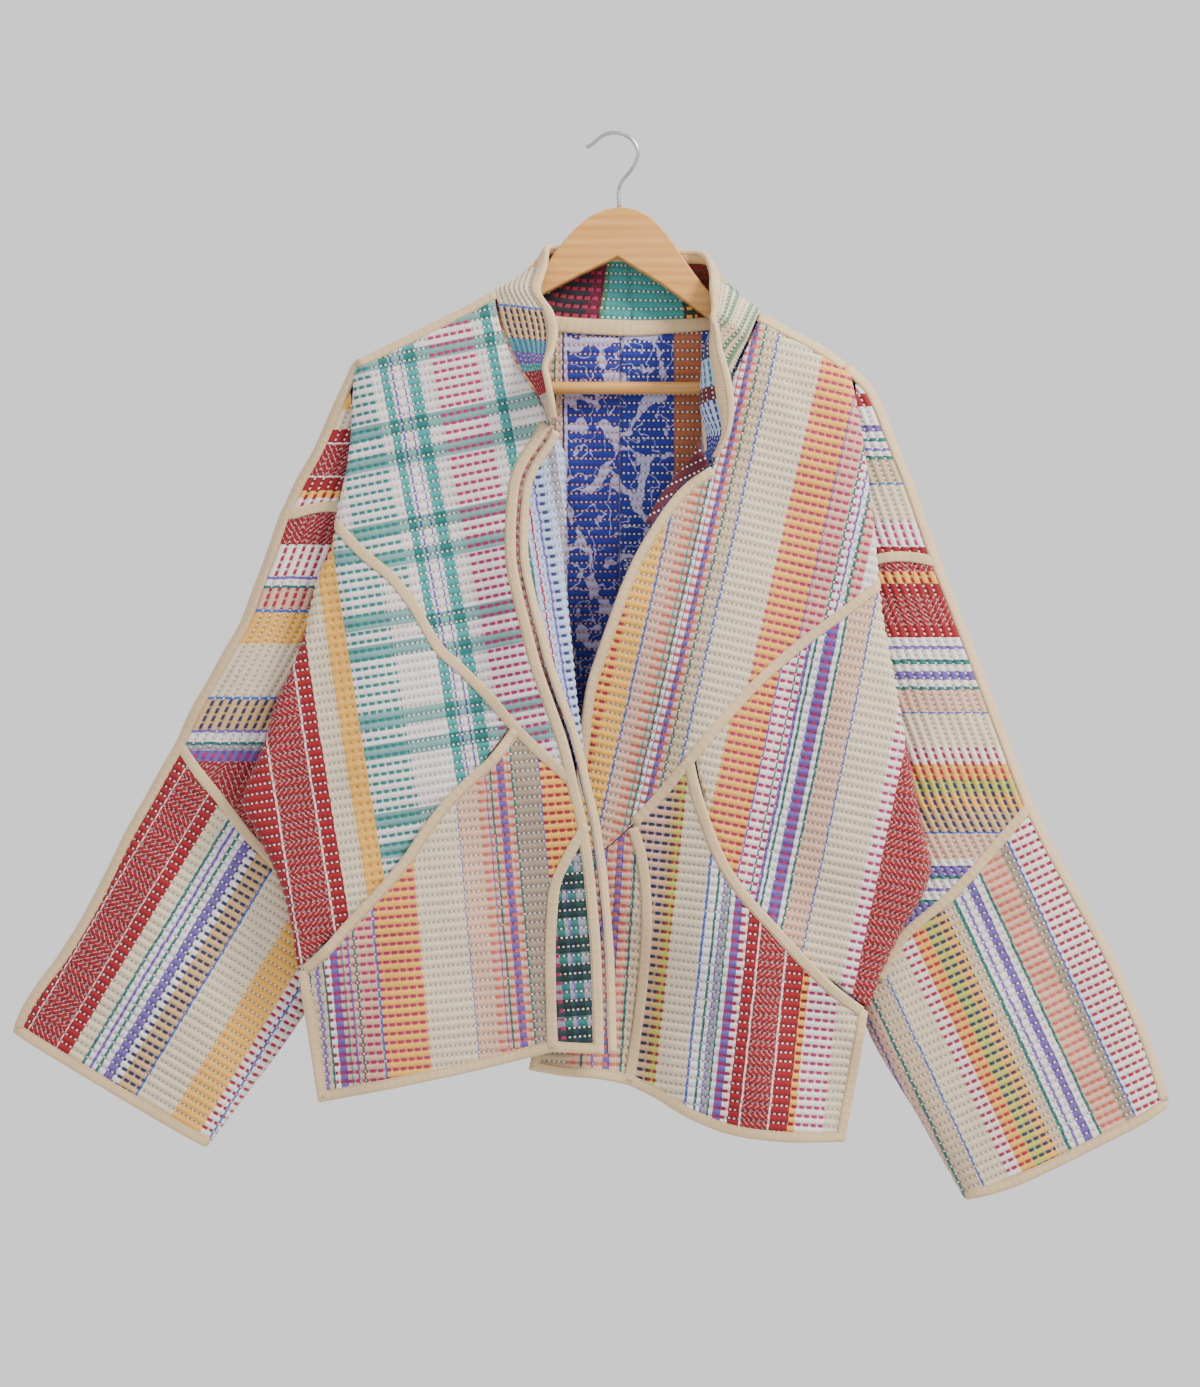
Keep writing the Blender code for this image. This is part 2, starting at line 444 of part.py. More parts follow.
def place(kind, flat, lifted=False):
    """The outer face, in mm, at flat places (x, z) of one layer."""
    x, z = flat[:, 0], flat[:, 1]
    if kind not in ROLLS:
        return np.column_stack([x, depth(kind, x, z), z])
    sense = ROLL_SENSE[kind]
    fold, radius = roll_at(kind, z)
    rolls = radius >= LEAST_ROLL
    start = np.where(rolls, fold - sense * radius, x)
    past = sense * (x - start)
    past = np.where(rolls, np.maximum(past, 0), 0)
    radius = np.maximum(radius, LEAST_ROLL)
    angle = np.minimum(past / radius, math.pi)
    beyond = np.maximum(past - math.pi * radius, 0)
    flat_x = np.where(past > 0, start, x)
    y = depth(kind, flat_x, z) + radius * (1 - np.cos(angle))
    if lifted:
        y = y - pocket_lift(kind, x, z)
    return np.column_stack([flat_x + sense * (radius * np.sin(angle) - beyond), y, z])


def outward(kind, flat, lifted=False):
    """Unit normals of the outer face."""
    h = 0.1
    dx = place(kind, flat + [h, 0], lifted) - place(kind, flat - [h, 0], lifted)
    dz = place(kind, flat + [0, h], lifted) - place(kind, flat - [0, h], lifted)
    normal = np.cross(dx, dz)
    if kind == "back":
        normal = -normal
    return normal / np.maximum(np.linalg.norm(normal, axis=1), 1e-9)[:, None]


def drawn_in(name):
    """How far in from this seam the cloth is cut."""
    if name == "left_facing_edge":
        return DRAWN_IN["facing_edge"]
    if name.startswith("left_edge"):
        return DRAWN_IN["left_edge"]
    for word in ("shoulder", "overarm", "underarm", "neck", "edge", "hem", "vent", "cuff", "pocket"):
        if word in name:
            return DRAWN_IN[word]
    return DRAWN_IN["seam"]


def closer_on_rolls(kind, places, inset):
    """More places on an outline where it crosses a roll."""
    fuller, amounts = [], []
    for k in range(len(places)):
        start, end = places[k - 1], places[k]
        fold, radius = roll_at(kind, 0.5 * (start[1] + end[1]))
        beyond = max(ROLL_SENSE[kind] * (start[0] - fold), ROLL_SENSE[kind] * (end[0] - fold))
        count = 1
        if radius >= LEAST_ROLL and beyond > -radius:
            count = max(1, int(math.ceil(abs(end[0] - start[0]) / ROLL_STEP)))
        for share in np.arange(1, count + 1) / count:
            fuller.append(start + (end - start) * share)
            amounts.append(inset[k])
    return np.array(fuller), np.array(amounts)


def outline(kind, parts):
    """Closed outline of a piece in flat places, drawn in from its seams."""
    rough = np.vstack([LINES[p.lstrip("-+=")][:: -1 if "-" in p else 1] for p in parts])
    area = 0.5 * (rough[:, 0] * np.roll(rough[:, 1], -1) - np.roll(rough[:, 0], -1) * rough[:, 1]).sum()
    turn = 1 if area > 0 else -1
    places, inset = [], []
    for part in parts:
        name = part.lstrip("-+=")
        line = LINES[name][:: -1 if "-" in part else 1].copy()
        amount = drawn_in(name)
        if "+" in part:
            line[:, 0] += ROLL_SENSE[kind] * carried_round(kind, line[:, 1])
            amount = DRAWN_IN["seam"]
        if "=" in part:
            run = np.gradient(line, axis=0)
            out = turn * np.column_stack([run[:, 1], -run[:, 0]])
            out /= np.linalg.norm(out, axis=1)[:, None]
            ends = run_between(line)
            line += out * (POCKET_LAP * smooth((ends - 34) / 30))[:, None]
            amount = DRAWN_IN["seam"]
        places.append(line)
        inset.append(np.full(len(line), amount))
    places, inset = np.vstack(places), np.concatenate(inset)
    keep = np.linalg.norm(places - np.roll(places, 1, axis=0), axis=1) > 0.05
    places, inset = places[keep], inset[keep]
    if kind in ROLLS:
        places, inset = closer_on_rolls(kind, places, inset)
    before, after = places - np.roll(places, 1, axis=0), np.roll(places, -1, axis=0) - places
    into = []
    for run in (before, after):
        normal = turn * np.column_stack([-run[:, 1], run[:, 0]])
        into.append(normal / np.linalg.norm(normal, axis=1)[:, None])
    d1, d2 = inset, np.roll(inset, -1)
    cross = into[0][:, 0] * into[1][:, 1] - into[0][:, 1] * into[1][:, 0]
    mean = into[0] + into[1]
    mean /= np.maximum(np.linalg.norm(mean, axis=1), 1e-6)[:, None]
    shift = mean * np.maximum(d1, d2)[:, None]
    sharp = np.abs(cross) > 0.25
    corner = np.column_stack([
        (d1 * into[1][:, 1] - d2 * into[0][:, 1]), (into[0][:, 0] * d2 - into[1][:, 0] * d1)])
    shift[sharp] = corner[sharp] / cross[sharp][:, None]
    length = np.linalg.norm(shift, axis=1)
    shift *= np.minimum(1, 7 / np.maximum(length, 1e-6))[:, None]
    return places + shift


def within(outline, x, z):
    """Which places lie inside a closed outline."""
    inside = np.zeros(x.shape, bool)
    for (x1, z1), (x2, z2) in zip(outline, np.roll(outline, -1, axis=0)):
        if z1 == z2:
            continue
        crosses = (z1 > z) != (z2 > z)
        inside ^= crosses & (x < x1 + (z - z1) * (x2 - x1) / (z2 - z1))
    return inside


def places_on_rolls(kind, low, high):
    """Places in lines along a fold, close enough together to carry its roll."""
    found = []
    for z in np.arange(low, high, CELL):
        fold, radius = roll_at(kind, z)
        if radius >= LEAST_ROLL:
            reach = radius + carried_round(kind, z)
            for run in np.linspace(0, reach, max(3, int(math.ceil(reach / ROLL_STEP)) + 1))[:-1]:
                found.append((fold + ROLL_SENSE[kind] * (run - radius), z))
    return np.array(found).reshape(-1, 2)


def places_by_ridges(kind, parts, turn):
    """Places a little way in from the seams where front and back meet, where the cloth bends most."""
    found = []
    for part in parts:
        name = part.lstrip("-+=")
        if name in RIDGES[kind.replace("facing_", "")]:
            line = LINES[name][:: -1 if "-" in part else 1]
            run = unit(np.gradient(line, axis=0))
            into = turn * np.column_stack([-run[:, 1], run[:, 0]])
            for far in (8.0, 20.0):
                found.append(line + into * far)
    return np.vstack(found) if found else np.zeros((0, 2))


def fill(kind, parts):
    """Flat places and triangles of one piece: its outline first, then the places inside it."""
    edge = outline(kind, parts)
    following = np.roll(edge, -1, axis=0)
    turn = 1 if (edge[:, 0] * following[:, 1] - following[:, 0] * edge[:, 1]).sum() > 0 else -1
    if turn < 0:
        edge = edge[::-1]
    low, high = edge.min(0), edge.max(0)
    closed = np.vstack([edge, edge[:1]])
    across, up = np.meshgrid(
        np.arange(low[0] + CELL / 2, high[0], CELL), np.arange(low[1] + CELL / 2, high[1], CELL))
    across = across + (np.arange(len(across)) % 2)[:, None] * CELL / 2
    groups = [
        (places_on_rolls(kind, low[1] + 6, high[1]) if kind in ROLLS else np.zeros((0, 2)), 3.5),
        (places_by_ridges(kind, parts, turn), 6.0),
        (np.column_stack([across.ravel(), up.ravel()]), 0.45 * CELL)]
    points = list(edge)
    for places, room in groups:
        if not len(places):
            continue
        clear = within(edge, places[:, 0], places[:, 1])
        clear &= distance(closed, places[:, 0], places[:, 1]) > room
        chosen = []
        for place_, good in zip(places, clear):
            others = np.array(points[len(edge):] + chosen).reshape(-1, 2)
            if good and (not len(others) or np.linalg.norm(others - place_, axis=1).min() > room):
                chosen.append(place_)
        points += chosen
    flat = np.array([tuple(p) for p in points])
    even = flat.copy()
    if kind in ROLLS:  # as if unrolled from its fold and stretched, so the triangles run along the roll
        past = ROLL_SENSE[kind] * (flat[:, 0] - roll_at(kind, flat[:, 1])[0])
        even[:, 0] = past + 3 * np.maximum(past + FOLD_RADIUS, 0)
        if ROLL_SENSE[kind] < 0:
            even[:, 0] *= -1
    found = delaunay_2d_cdt([Vector(p) for p in even], [], [list(range(len(edge)))], 1, 1e-4)
    if len(found[0]) != len(flat):
        raise ValueError("an outline crosses itself: %s" % (parts,))
    return flat, np.array(found[2]), len(edge)


def unit(v):
    return v / np.maximum(np.linalg.norm(v, axis=-1, keepdims=True), 1e-9)


class Sheet:
    """One built piece of cloth: its two faces, for the tapes that lie on it."""

    def __init__(self, outer, inner, triangles):
        count = len(outer)
        points = np.vstack([outer, inner])
        self.whole = BVHTree.FromPolygons([tuple(p) for p in points], [tuple(t) for t in triangles])
        self.faces = []
        for first in (0, count):
            used = [tuple(t) for t in triangles
                    if all(first <= v < first + count for v in t)]
            self.faces.append(BVHTree.FromPolygons([tuple(p) for p in points], used))

    def nearest(self, point, inside=False):
        return self.faces[1 if inside else 0].find_nearest(Vector(point))

    def lacking(self, point, room):
        """How much further off this cloth a place should be to have the room asked for."""
        away = self.whole.find_nearest(point, 6.0)[3]
        if away is None:
            return 0.0
        ray, start, crossings = Vector((0.31, 0.87, 0.38)).normalized(), point, 0
        while crossings < 9:
            hit = self.whole.ray_cast(start, ray)[0]
            if hit is None:
                break
            crossings += 1
            start = hit + ray * 1e-4
        return room + away if crossings % 2 else max(0.0, room - away)


SHEETS = {}


def material(name, colour, roughness=0.85, metallic=0.0):
    found = bpy.data.materials.get(name) or bpy.data.materials.new(name)
    found.use_nodes = True
    shader = found.node_tree.nodes["Principled BSDF"]
    shader.inputs["Base Color"].default_value = (*colour, 1)
    shader.inputs["Roughness"].default_value = roughness
    shader.inputs["Metallic"].default_value = metallic
    return found


def add_object(name, points, triangles, finish):
    """A closed mesh from points in mm, with its faces turned outwards."""
    points, triangles = np.asarray(points, float) * MM, np.asarray(triangles)
    a, b, c = (points[triangles[:, k]] for k in range(3))
    if (a * np.cross(b, c)).sum() < 0:
        triangles = triangles[:, ::-1]
    mesh = bpy.data.meshes.new(name)
    mesh.from_pydata([tuple(p) for p in points], [], [tuple(int(v) for v in t) for t in triangles])
    mesh.materials.append(finish)
    mesh.update()
    obj = bpy.data.objects.new(name, mesh)
    bpy.context.scene.collection.objects.link(obj)
    return obj


def wall(triangles, rim, count):
    """Triangles of a closed wall: an outer face, the same face below it, and the rim between."""
    after = np.roll(rim, -1)
    sides = [np.column_stack([after, rim, rim + count]), np.column_stack([after, rim + count, after + count])]
    return np.vstack([triangles, triangles[:, ::-1] + count] + sides)


def add_sheet(name, outer, normals, face, rim, finish):
    inner = outer - normals * WALL
    triangles = wall(face, rim, len(outer))
    SHEETS[name] = Sheet(outer, inner, triangles)
    return add_object(name, np.vstack([outer, inner]), triangles, finish)


def add_panel(name, finish):
    kind, parts = PANELS[name]
    lifted = "pocket" in name
    flat, face, edges = fill(kind, parts)
    outer, normals = place(kind, flat, lifted), outward(kind, flat, lifted)
    return add_sheet(name, outer, normals, face, np.arange(edges), finish)


def on_sheets(points, names, inside=False):
    """The nearest places on the named sheets' outer or inner faces."""
    found = []
    for p in points:
        hits = [SHEETS[n].nearest(p, inside) for n in names]
        best = min((h for h in hits if h[0] is not None), key=lambda h: h[3])
        found.append(tuple(best[0]))
    return np.array(found)


def add_band(name, paths, pushes, names, finish):
    """A tape: paths[station, place] lie on the cloth, pushes point off it, and the tape clears the sheets."""
    stations, across = paths.shape[:2]
    clear = np.full((stations, across), GAP)
    for _ in range(8):
        more = np.zeros((stations, across))
        under = paths + pushes * clear[..., None]
        for i in range(stations - 1):
            for t in np.arange(5) / 4:
                line = under[i] * (1 - t) + under[i + 1] * t
                for k in range(across - 1):
                    for u in (0.0, 0.5, 1.0):
                        point = Vector(line[k] * (1 - u) + line[k + 1] * u)
                        need = max(SHEETS[n].lacking(point, 0.8 * GAP) for n in names)
                        if need > 0.02:
                            cell = more[i:i + 2, k:k + 2]
                            np.maximum(cell, need, out=cell)
        if more.max() == 0:
            break
        clear += more
    ring = 2 * across
    at = np.arange(stations * ring).reshape(stations, ring)
    p, q = at[:-1].ravel(), np.roll(at[:-1], -1, axis=1).ravel()
    r, s = np.roll(at[1:], -1, axis=1).ravel(), at[1:].ravel()
    triangles = [np.column_stack([p, q, r]), np.column_stack([p, r, s])]
    for end, flip in ((at[0], 1), (at[-1], -1)):
        for k in range(across - 1):
            quad = [end[k], end[k + 1], end[ring - 2 - k], end[ring - 1 - k]]
            triangles.append(np.array([quad[:3][::-flip], [quad[0], quad[2], quad[3]][::-flip]]))
    triangles = np.vstack(triangles)
    for _ in range(16):
        inner = paths + pushes * clear[..., None]
        outer = paths + pushes * (clear[..., None] + TAPE)
        points = np.concatenate([outer, inner[:, ::-1]], axis=1).reshape(-1, 3)
        tree = BVHTree.FromPolygons([tuple(v) for v in points], [tuple(int(v) for v in t) for t in triangles])
        touching = {k for n in names for k, _ in tree.overlap(SHEETS[n].whole)}
        if not touching:
            break
        corners = np.unique(triangles[sorted(touching)])
        station, column = corners // ring, corners % ring
        more = np.zeros((stations, across))
        more[station, np.minimum(column, ring - 1 - column)] = 0.15
        clear += more
    return add_object(name, points, triangles, finish)


def trimmed(line, start, end):
    """A flat line shortened at its ends, or lengthened by amounts below nought."""
    run = np.concatenate([[0], np.cumsum(np.linalg.norm(np.diff(line, axis=0), axis=1))])
    first = line[0] - unit(line[1] - line[0]) * max(0, -start)
    last = line[-1] + unit(line[-1] - line[-2]) * max(0, -end)
    keep = (run > max(start, 0)) & (run < run[-1] - max(end, 0))
    at = [max(start, 0), run[-1] - max(end, 0)]
    ends = np.column_stack([np.interp(at, run, line[:, k]) for k in (0, 1)])
    head = [first] if start < 0 else [ends[0]]
    tail = [last] if end < 0 else [ends[1]]
    return np.vstack([head, line[keep], tail])


def add_tape(name, kind, seams, names, finish, start=0.0, end=0.0, width=TAPE_WIDTH, lifted=False):
    """A flat tape over a seam, on the outer faces of the pieces it joins."""
    line = evenly(trimmed(join(*seams), start, end), BAND_STEP)
    run = unit(np.gradient(line, axis=0))
    beside = np.column_stack([-run[:, 1], run[:, 0]])
    flat = line[:, None] + beside[:, None] * (np.array([-0.5, 0.5]) * width)[None, :, None]
    stations = len(line)
    points = on_sheets(place(kind, flat.reshape(-1, 2), lifted), names)
    pushes = outward(kind, flat.reshape(-1, 2), lifted)
    return add_band(name, points.reshape(stations, 2, 3), pushes.reshape(stations, 2, 3), names, finish)


def edge_stations(seams, side, start, end, step=BAND_STEP):
    """Flat places along a cut edge and the way in from it, longer at corners. side is 1 with cloth to the left."""
    lines = [LINES[n.lstrip("-")][:: -1 if n[0] == "-" else 1] for n in seams]
    amounts = [drawn_in(n.lstrip("-")) for n in seams]
    lines[0] = trimmed(lines[0], start, 0)
    lines[-1] = trimmed(lines[-1], 0, end)
    edge, inward, last = [], [], None
    for line, amount in zip(lines, amounts):
        line = evenly(line, step)
        run = unit(np.gradient(line, axis=0))
        normal = side * np.column_stack([-run[:, 1], run[:, 0]])
        if last is None:
            edge, inward = list(line + normal * amount), list(normal)
        else:
            together = 1 + float(last @ normal[0])
            mitre = (last + normal[0]) / together
            edge[-1], inward[-1] = line[0] + mitre * amount, mitre
            edge += list(line[1:] + normal[1:] * amount)
            inward += list(normal[1:])
        last = normal[-1]
    return np.array(edge), np.array(inward)


def faces_at(kind, names, edge, inward, reach, lifted):
    """Outer and inner places at an edge and at a reach in from it, on the built sheets, and their normals."""
    rows = []
    for far in (reach, 0.0):
        flat = edge + inward * far
        point, normal = place(kind, flat, lifted), outward(kind, flat, lifted)
        outer = on_sheets(point, names)
        inner = on_sheets(point - normal * WALL, names, inside=True)
        rows.append((outer, inner, normal))
    return rows


def add_binding(name, kind, names, seams, side, finish, start=0.0, end=0.0, reach=BINDING_WIDTH, lifted=False):
    """A tape folded round cut edges, with a mitre where two of them meet at a corner."""
    edge, inward = edge_stations(seams, side, start, end)
    (o8, i8, n8), (o0, i0, n0) = faces_at(kind, names, edge, inward, reach, lifted)
    out = unit(o0 - o8) * np.linalg.norm(inward, axis=1)[:, None]
    paths = np.stack([o8, o0, i0, i8], axis=1)
    pushes = np.stack([n8, n0 + out, out - n0, -n8], axis=1)
    return add_band(name, paths, pushes, names, finish)


def add_edge_tape(name, kind, names, seams, side, finish, start, end, reach):
    """A flat tape on the outer face, along a cut edge."""
    edge, inward = edge_stations(seams, side, start, end)
    flat = np.stack([edge + inward * reach, edge + inward * 0.4], axis=1)
    shape = flat.shape[:2] + (3,)
    points = on_sheets(place(kind, flat.reshape(-1, 2)), names).reshape(shape)
    return add_band(name, points, outward(kind, flat.reshape(-1, 2)).reshape(shape), names, finish)


def add_ridge_binding(name, front_kind, fronts, backs, seams, side, finish, start=0.0, end=0.0):
    """A tape folded over a seam where a front layer meets a back layer."""
    edge, inward = edge_stations(seams, side, start, end)
    parts = []
    for kind, names in ((front_kind, fronts), ("back", backs)):
        for far in (BINDING_WIDTH, 0.5):
            flat = edge + inward * far
            parts.append((on_sheets(place(kind, flat), names), outward(kind, flat)))
    (f8, nf8), (f0, nf0), (b8, nb8), (b0, nb0) = parts
    up = -np.column_stack([inward[:, 0], np.zeros(len(inward)), inward[:, 1]])
    paths = np.stack([f8, f0, b0, b8], axis=1)
    pushes = np.stack([nf8, 0.6 * nf0 + up, 0.6 * nb0 + up, nb8], axis=1)
    return add_band(name, paths, pushes, list(fronts) + list(backs), finish)


def collar_surface():
    """The collar's outer face as seam, middle and top rows set to the cloth's depth at its seam."""
    table = np.array(COLLAR, float)
    for k in range(len(table)):
        x, y, z = table[k, 0]
        kind = "back" if y > 0 else ("right" if x < 0 else "left")
        shift = float(depth(kind, np.array([x]), np.array([z]))[0]) - y
        table[k, 0, 1] += shift
        table[k, 1, 1] += 0.5 * shift
    return table


def across_collar(table, share):
    """Places a share of the way up the collar, on a smooth line through its three rows."""
    t = np.asarray(share)[None, :, None]
    low, mid, top = (table[:, k][:, None] for k in range(3))
    return low * (1 - t) * (1 - 2 * t) + mid * 4 * t * (1 - t) + top * t * (2 * t - 1)


def collar_grid(table, first, last, shares):
    """Places and outward normals on the collar from one station to another."""
    stations = np.arange(first, last + 1)
    full = across_collar(table, shares)
    up = across_collar(table, np.array(shares) + 0.01) - across_collar(table, np.array(shares) - 0.01)
    along = np.gradient(full, axis=0)
    normal = unit(np.cross(up, along))
    return full[stations], normal[stations]


def add_collar(finishes):
    table = collar_surface()
    shares = np.linspace(0.02, 0.97, 5)
    middle = COLLAR_MIDDLE
    for name, first, last, nudge in (("collar_right", 0, middle, -1), ("collar_left", middle, len(table) - 1, 1)):
        outer, normal = collar_grid(table, first, last, shares)
        end = -1 if nudge < 0 else 0
        outer[end, :, 0] += nudge * 0.25
        rows, columns = outer.shape[:2]
        at = np.arange(rows * columns).reshape(rows, columns)
        p, q, r, s = at[:-1, :-1].ravel(), at[:-1, 1:].ravel(), at[1:, 1:].ravel(), at[1:, :-1].ravel()
        face = np.vstack([np.column_stack([p, q, r]), np.column_stack([p, r, s])])
        rim = np.concatenate([at[0, :-1], at[:-1, -1], at[-1, :0:-1], at[:0:-1, 0]])
        add_sheet(name, outer.reshape(-1, 3), normal.reshape(-1, 3), face, rim, finishes[name])
    return table


def add_collar_tapes(table, finish):
    both = ["collar_right", "collar_left"]
    top, normal = collar_grid(table, 0, len(table) - 1, [0.97 - 0.13, 0.97])
    o8, o0, n8, n0 = top[:, 0], top[:, 1], normal[:, 0], normal[:, 1]
    o8, o0 = on_sheets(o8, both), on_sheets(o0, both)
    i8, i0 = on_sheets(o8 - n8 * WALL, both, True), on_sheets(o0 - n0 * WALL, both, True)
    out = unit(o0 - o8)
    paths = np.stack([o8, o0, i0, i8], axis=1)
    pushes = np.stack([n8, n0 + out, out - n0, -n8], axis=1)
    add_band("collar_binding", paths, pushes, both, finish)
    for name, first, last in (("neck_tape_back", 10, 16), ("neck_tape_left", 20, len(table) - 3)):
        low, normal = collar_grid(table, first, last, [0.03, 0.17])
        inside = on_sheets((low - normal * WALL).reshape(-1, 3), both, True).reshape(low.shape)
        add_band(name, inside, -normal, both, finish)


def add_board(finish):
    """Both arms of the hanger as one shaped board, with its long edges rounded."""
    upper = spline(BOARD_TOP, 12.0)
    lower = np.array(BOARD_FOOT)
    ring = np.vstack([upper, lower])
    before, after = unit(ring - np.roll(ring, 1, axis=0)), unit(np.roll(ring, -1, axis=0) - ring)
    mean = unit(before + after)
    inward = np.column_stack([mean[:, 1], -mean[:, 0]])
    half, soft = BOARD / 2, 1.2
    loops = []
    for inset, y in ((soft, -half), (0.0, -half + soft), (0.0, half - soft), (soft, half)):
        places = ring + inward * inset
        loops.append(np.column_stack([places[:, 0], np.full(len(ring), y), places[:, 1]]))
    count = len(ring)
    faces = []
    for k in range(3):
        for i in range(count):
            j = (i + 1) % count
            a, b, c, d = k * count + i, k * count + j, (k + 1) * count + j, (k + 1) * count + i
            faces += [(a, b, c), (a, c, d)]
    for k in (0, 3):
        flat = [Vector((p[0], p[2])) for p in loops[k]]
        for tri in delaunay_2d_cdt(flat, [], [list(range(count))], 1, 1e-5)[2]:
            corner = [k * count + v for v in tri]
            faces.append(tuple(corner if k == 0 else corner[::-1]))
    return add_object("hanger_arms", np.vstack(loops), np.array(faces), finish)


def add_rod(name, line, diameter, sides, finish):
    """A round rod along a line of places (x, y, z)."""
    line = np.array(line, float)
    run = unit(np.gradient(line, axis=0))
    side = unit(np.cross(run, [0.0, 1.0, 0.0]))
    other = np.cross(side, run)
    turn = np.linspace(0, 2 * math.pi, sides, endpoint=False)
    rings = line[:, None] + diameter / 2 * (
        side[:, None] * np.cos(turn)[None, :, None] + other[:, None] * np.sin(turn)[None, :, None])
    count = len(line)
    points = np.vstack([rings.reshape(-1, 3), line[:1], line[-1:]])
    faces = []
    for i in range(sides):
        j = (i + 1) % sides
        for k in range(count - 1):
            a, b = k * sides + i, k * sides + j
            faces += [(a, b, b + sides), (a, b + sides, a + sides)]
        faces.append((count * sides, j, i))
        faces.append((count * sides + 1, (count - 1) * sides + i, (count - 1) * sides + j))
    return add_object(name, points, np.array(faces), finish)


# Colour of each piece, as the middle of its patchwork, and of the hanger's parts
COLOURS = {
    "front_upper_right": (0.52, 0.60, 0.58), "front_side_right": (0.60, 0.36, 0.26),
    "front_pocket_right": (0.62, 0.50, 0.42), "front_centre_right": (0.14, 0.30, 0.31),
    "facing_right": (0.32, 0.40, 0.62), "front_upper_left": (0.66, 0.50, 0.38),
    "front_side_left": (0.66, 0.52, 0.45), "front_pocket_left": (0.60, 0.40, 0.34),
    "front_centre_left": (0.60, 0.42, 0.38), "facing_left": (0.22, 0.05, 0.12),
    "sleeve_upper_right": (0.52, 0.28, 0.22), "sleeve_middle_right": (0.44, 0.33, 0.29),
    "sleeve_lower_right": (0.50, 0.26, 0.24), "sleeve_upper_left": (0.60, 0.48, 0.46),
    "sleeve_middle_left": (0.55, 0.34, 0.30), "sleeve_lower_left": (0.62, 0.52, 0.46),
    "back_right": (0.58, 0.47, 0.40), "back_left": (0.60, 0.50, 0.42),
    "sleeve_back_upper_right": (0.58, 0.42, 0.36), "sleeve_back_lower_right": (0.54, 0.36, 0.32),
    "sleeve_back_upper_left": (0.58, 0.44, 0.38), "sleeve_back_lower_left": (0.58, 0.46, 0.40),
    "collar_right": (0.56, 0.48, 0.38), "collar_left": (0.42, 0.58, 0.58),
}
TAPE_COLOUR = (0.66, 0.54, 0.38)
WOOD_COLOUR = (0.72, 0.45, 0.20)
STEEL_COLOUR = (0.60, 0.61, 0.63)


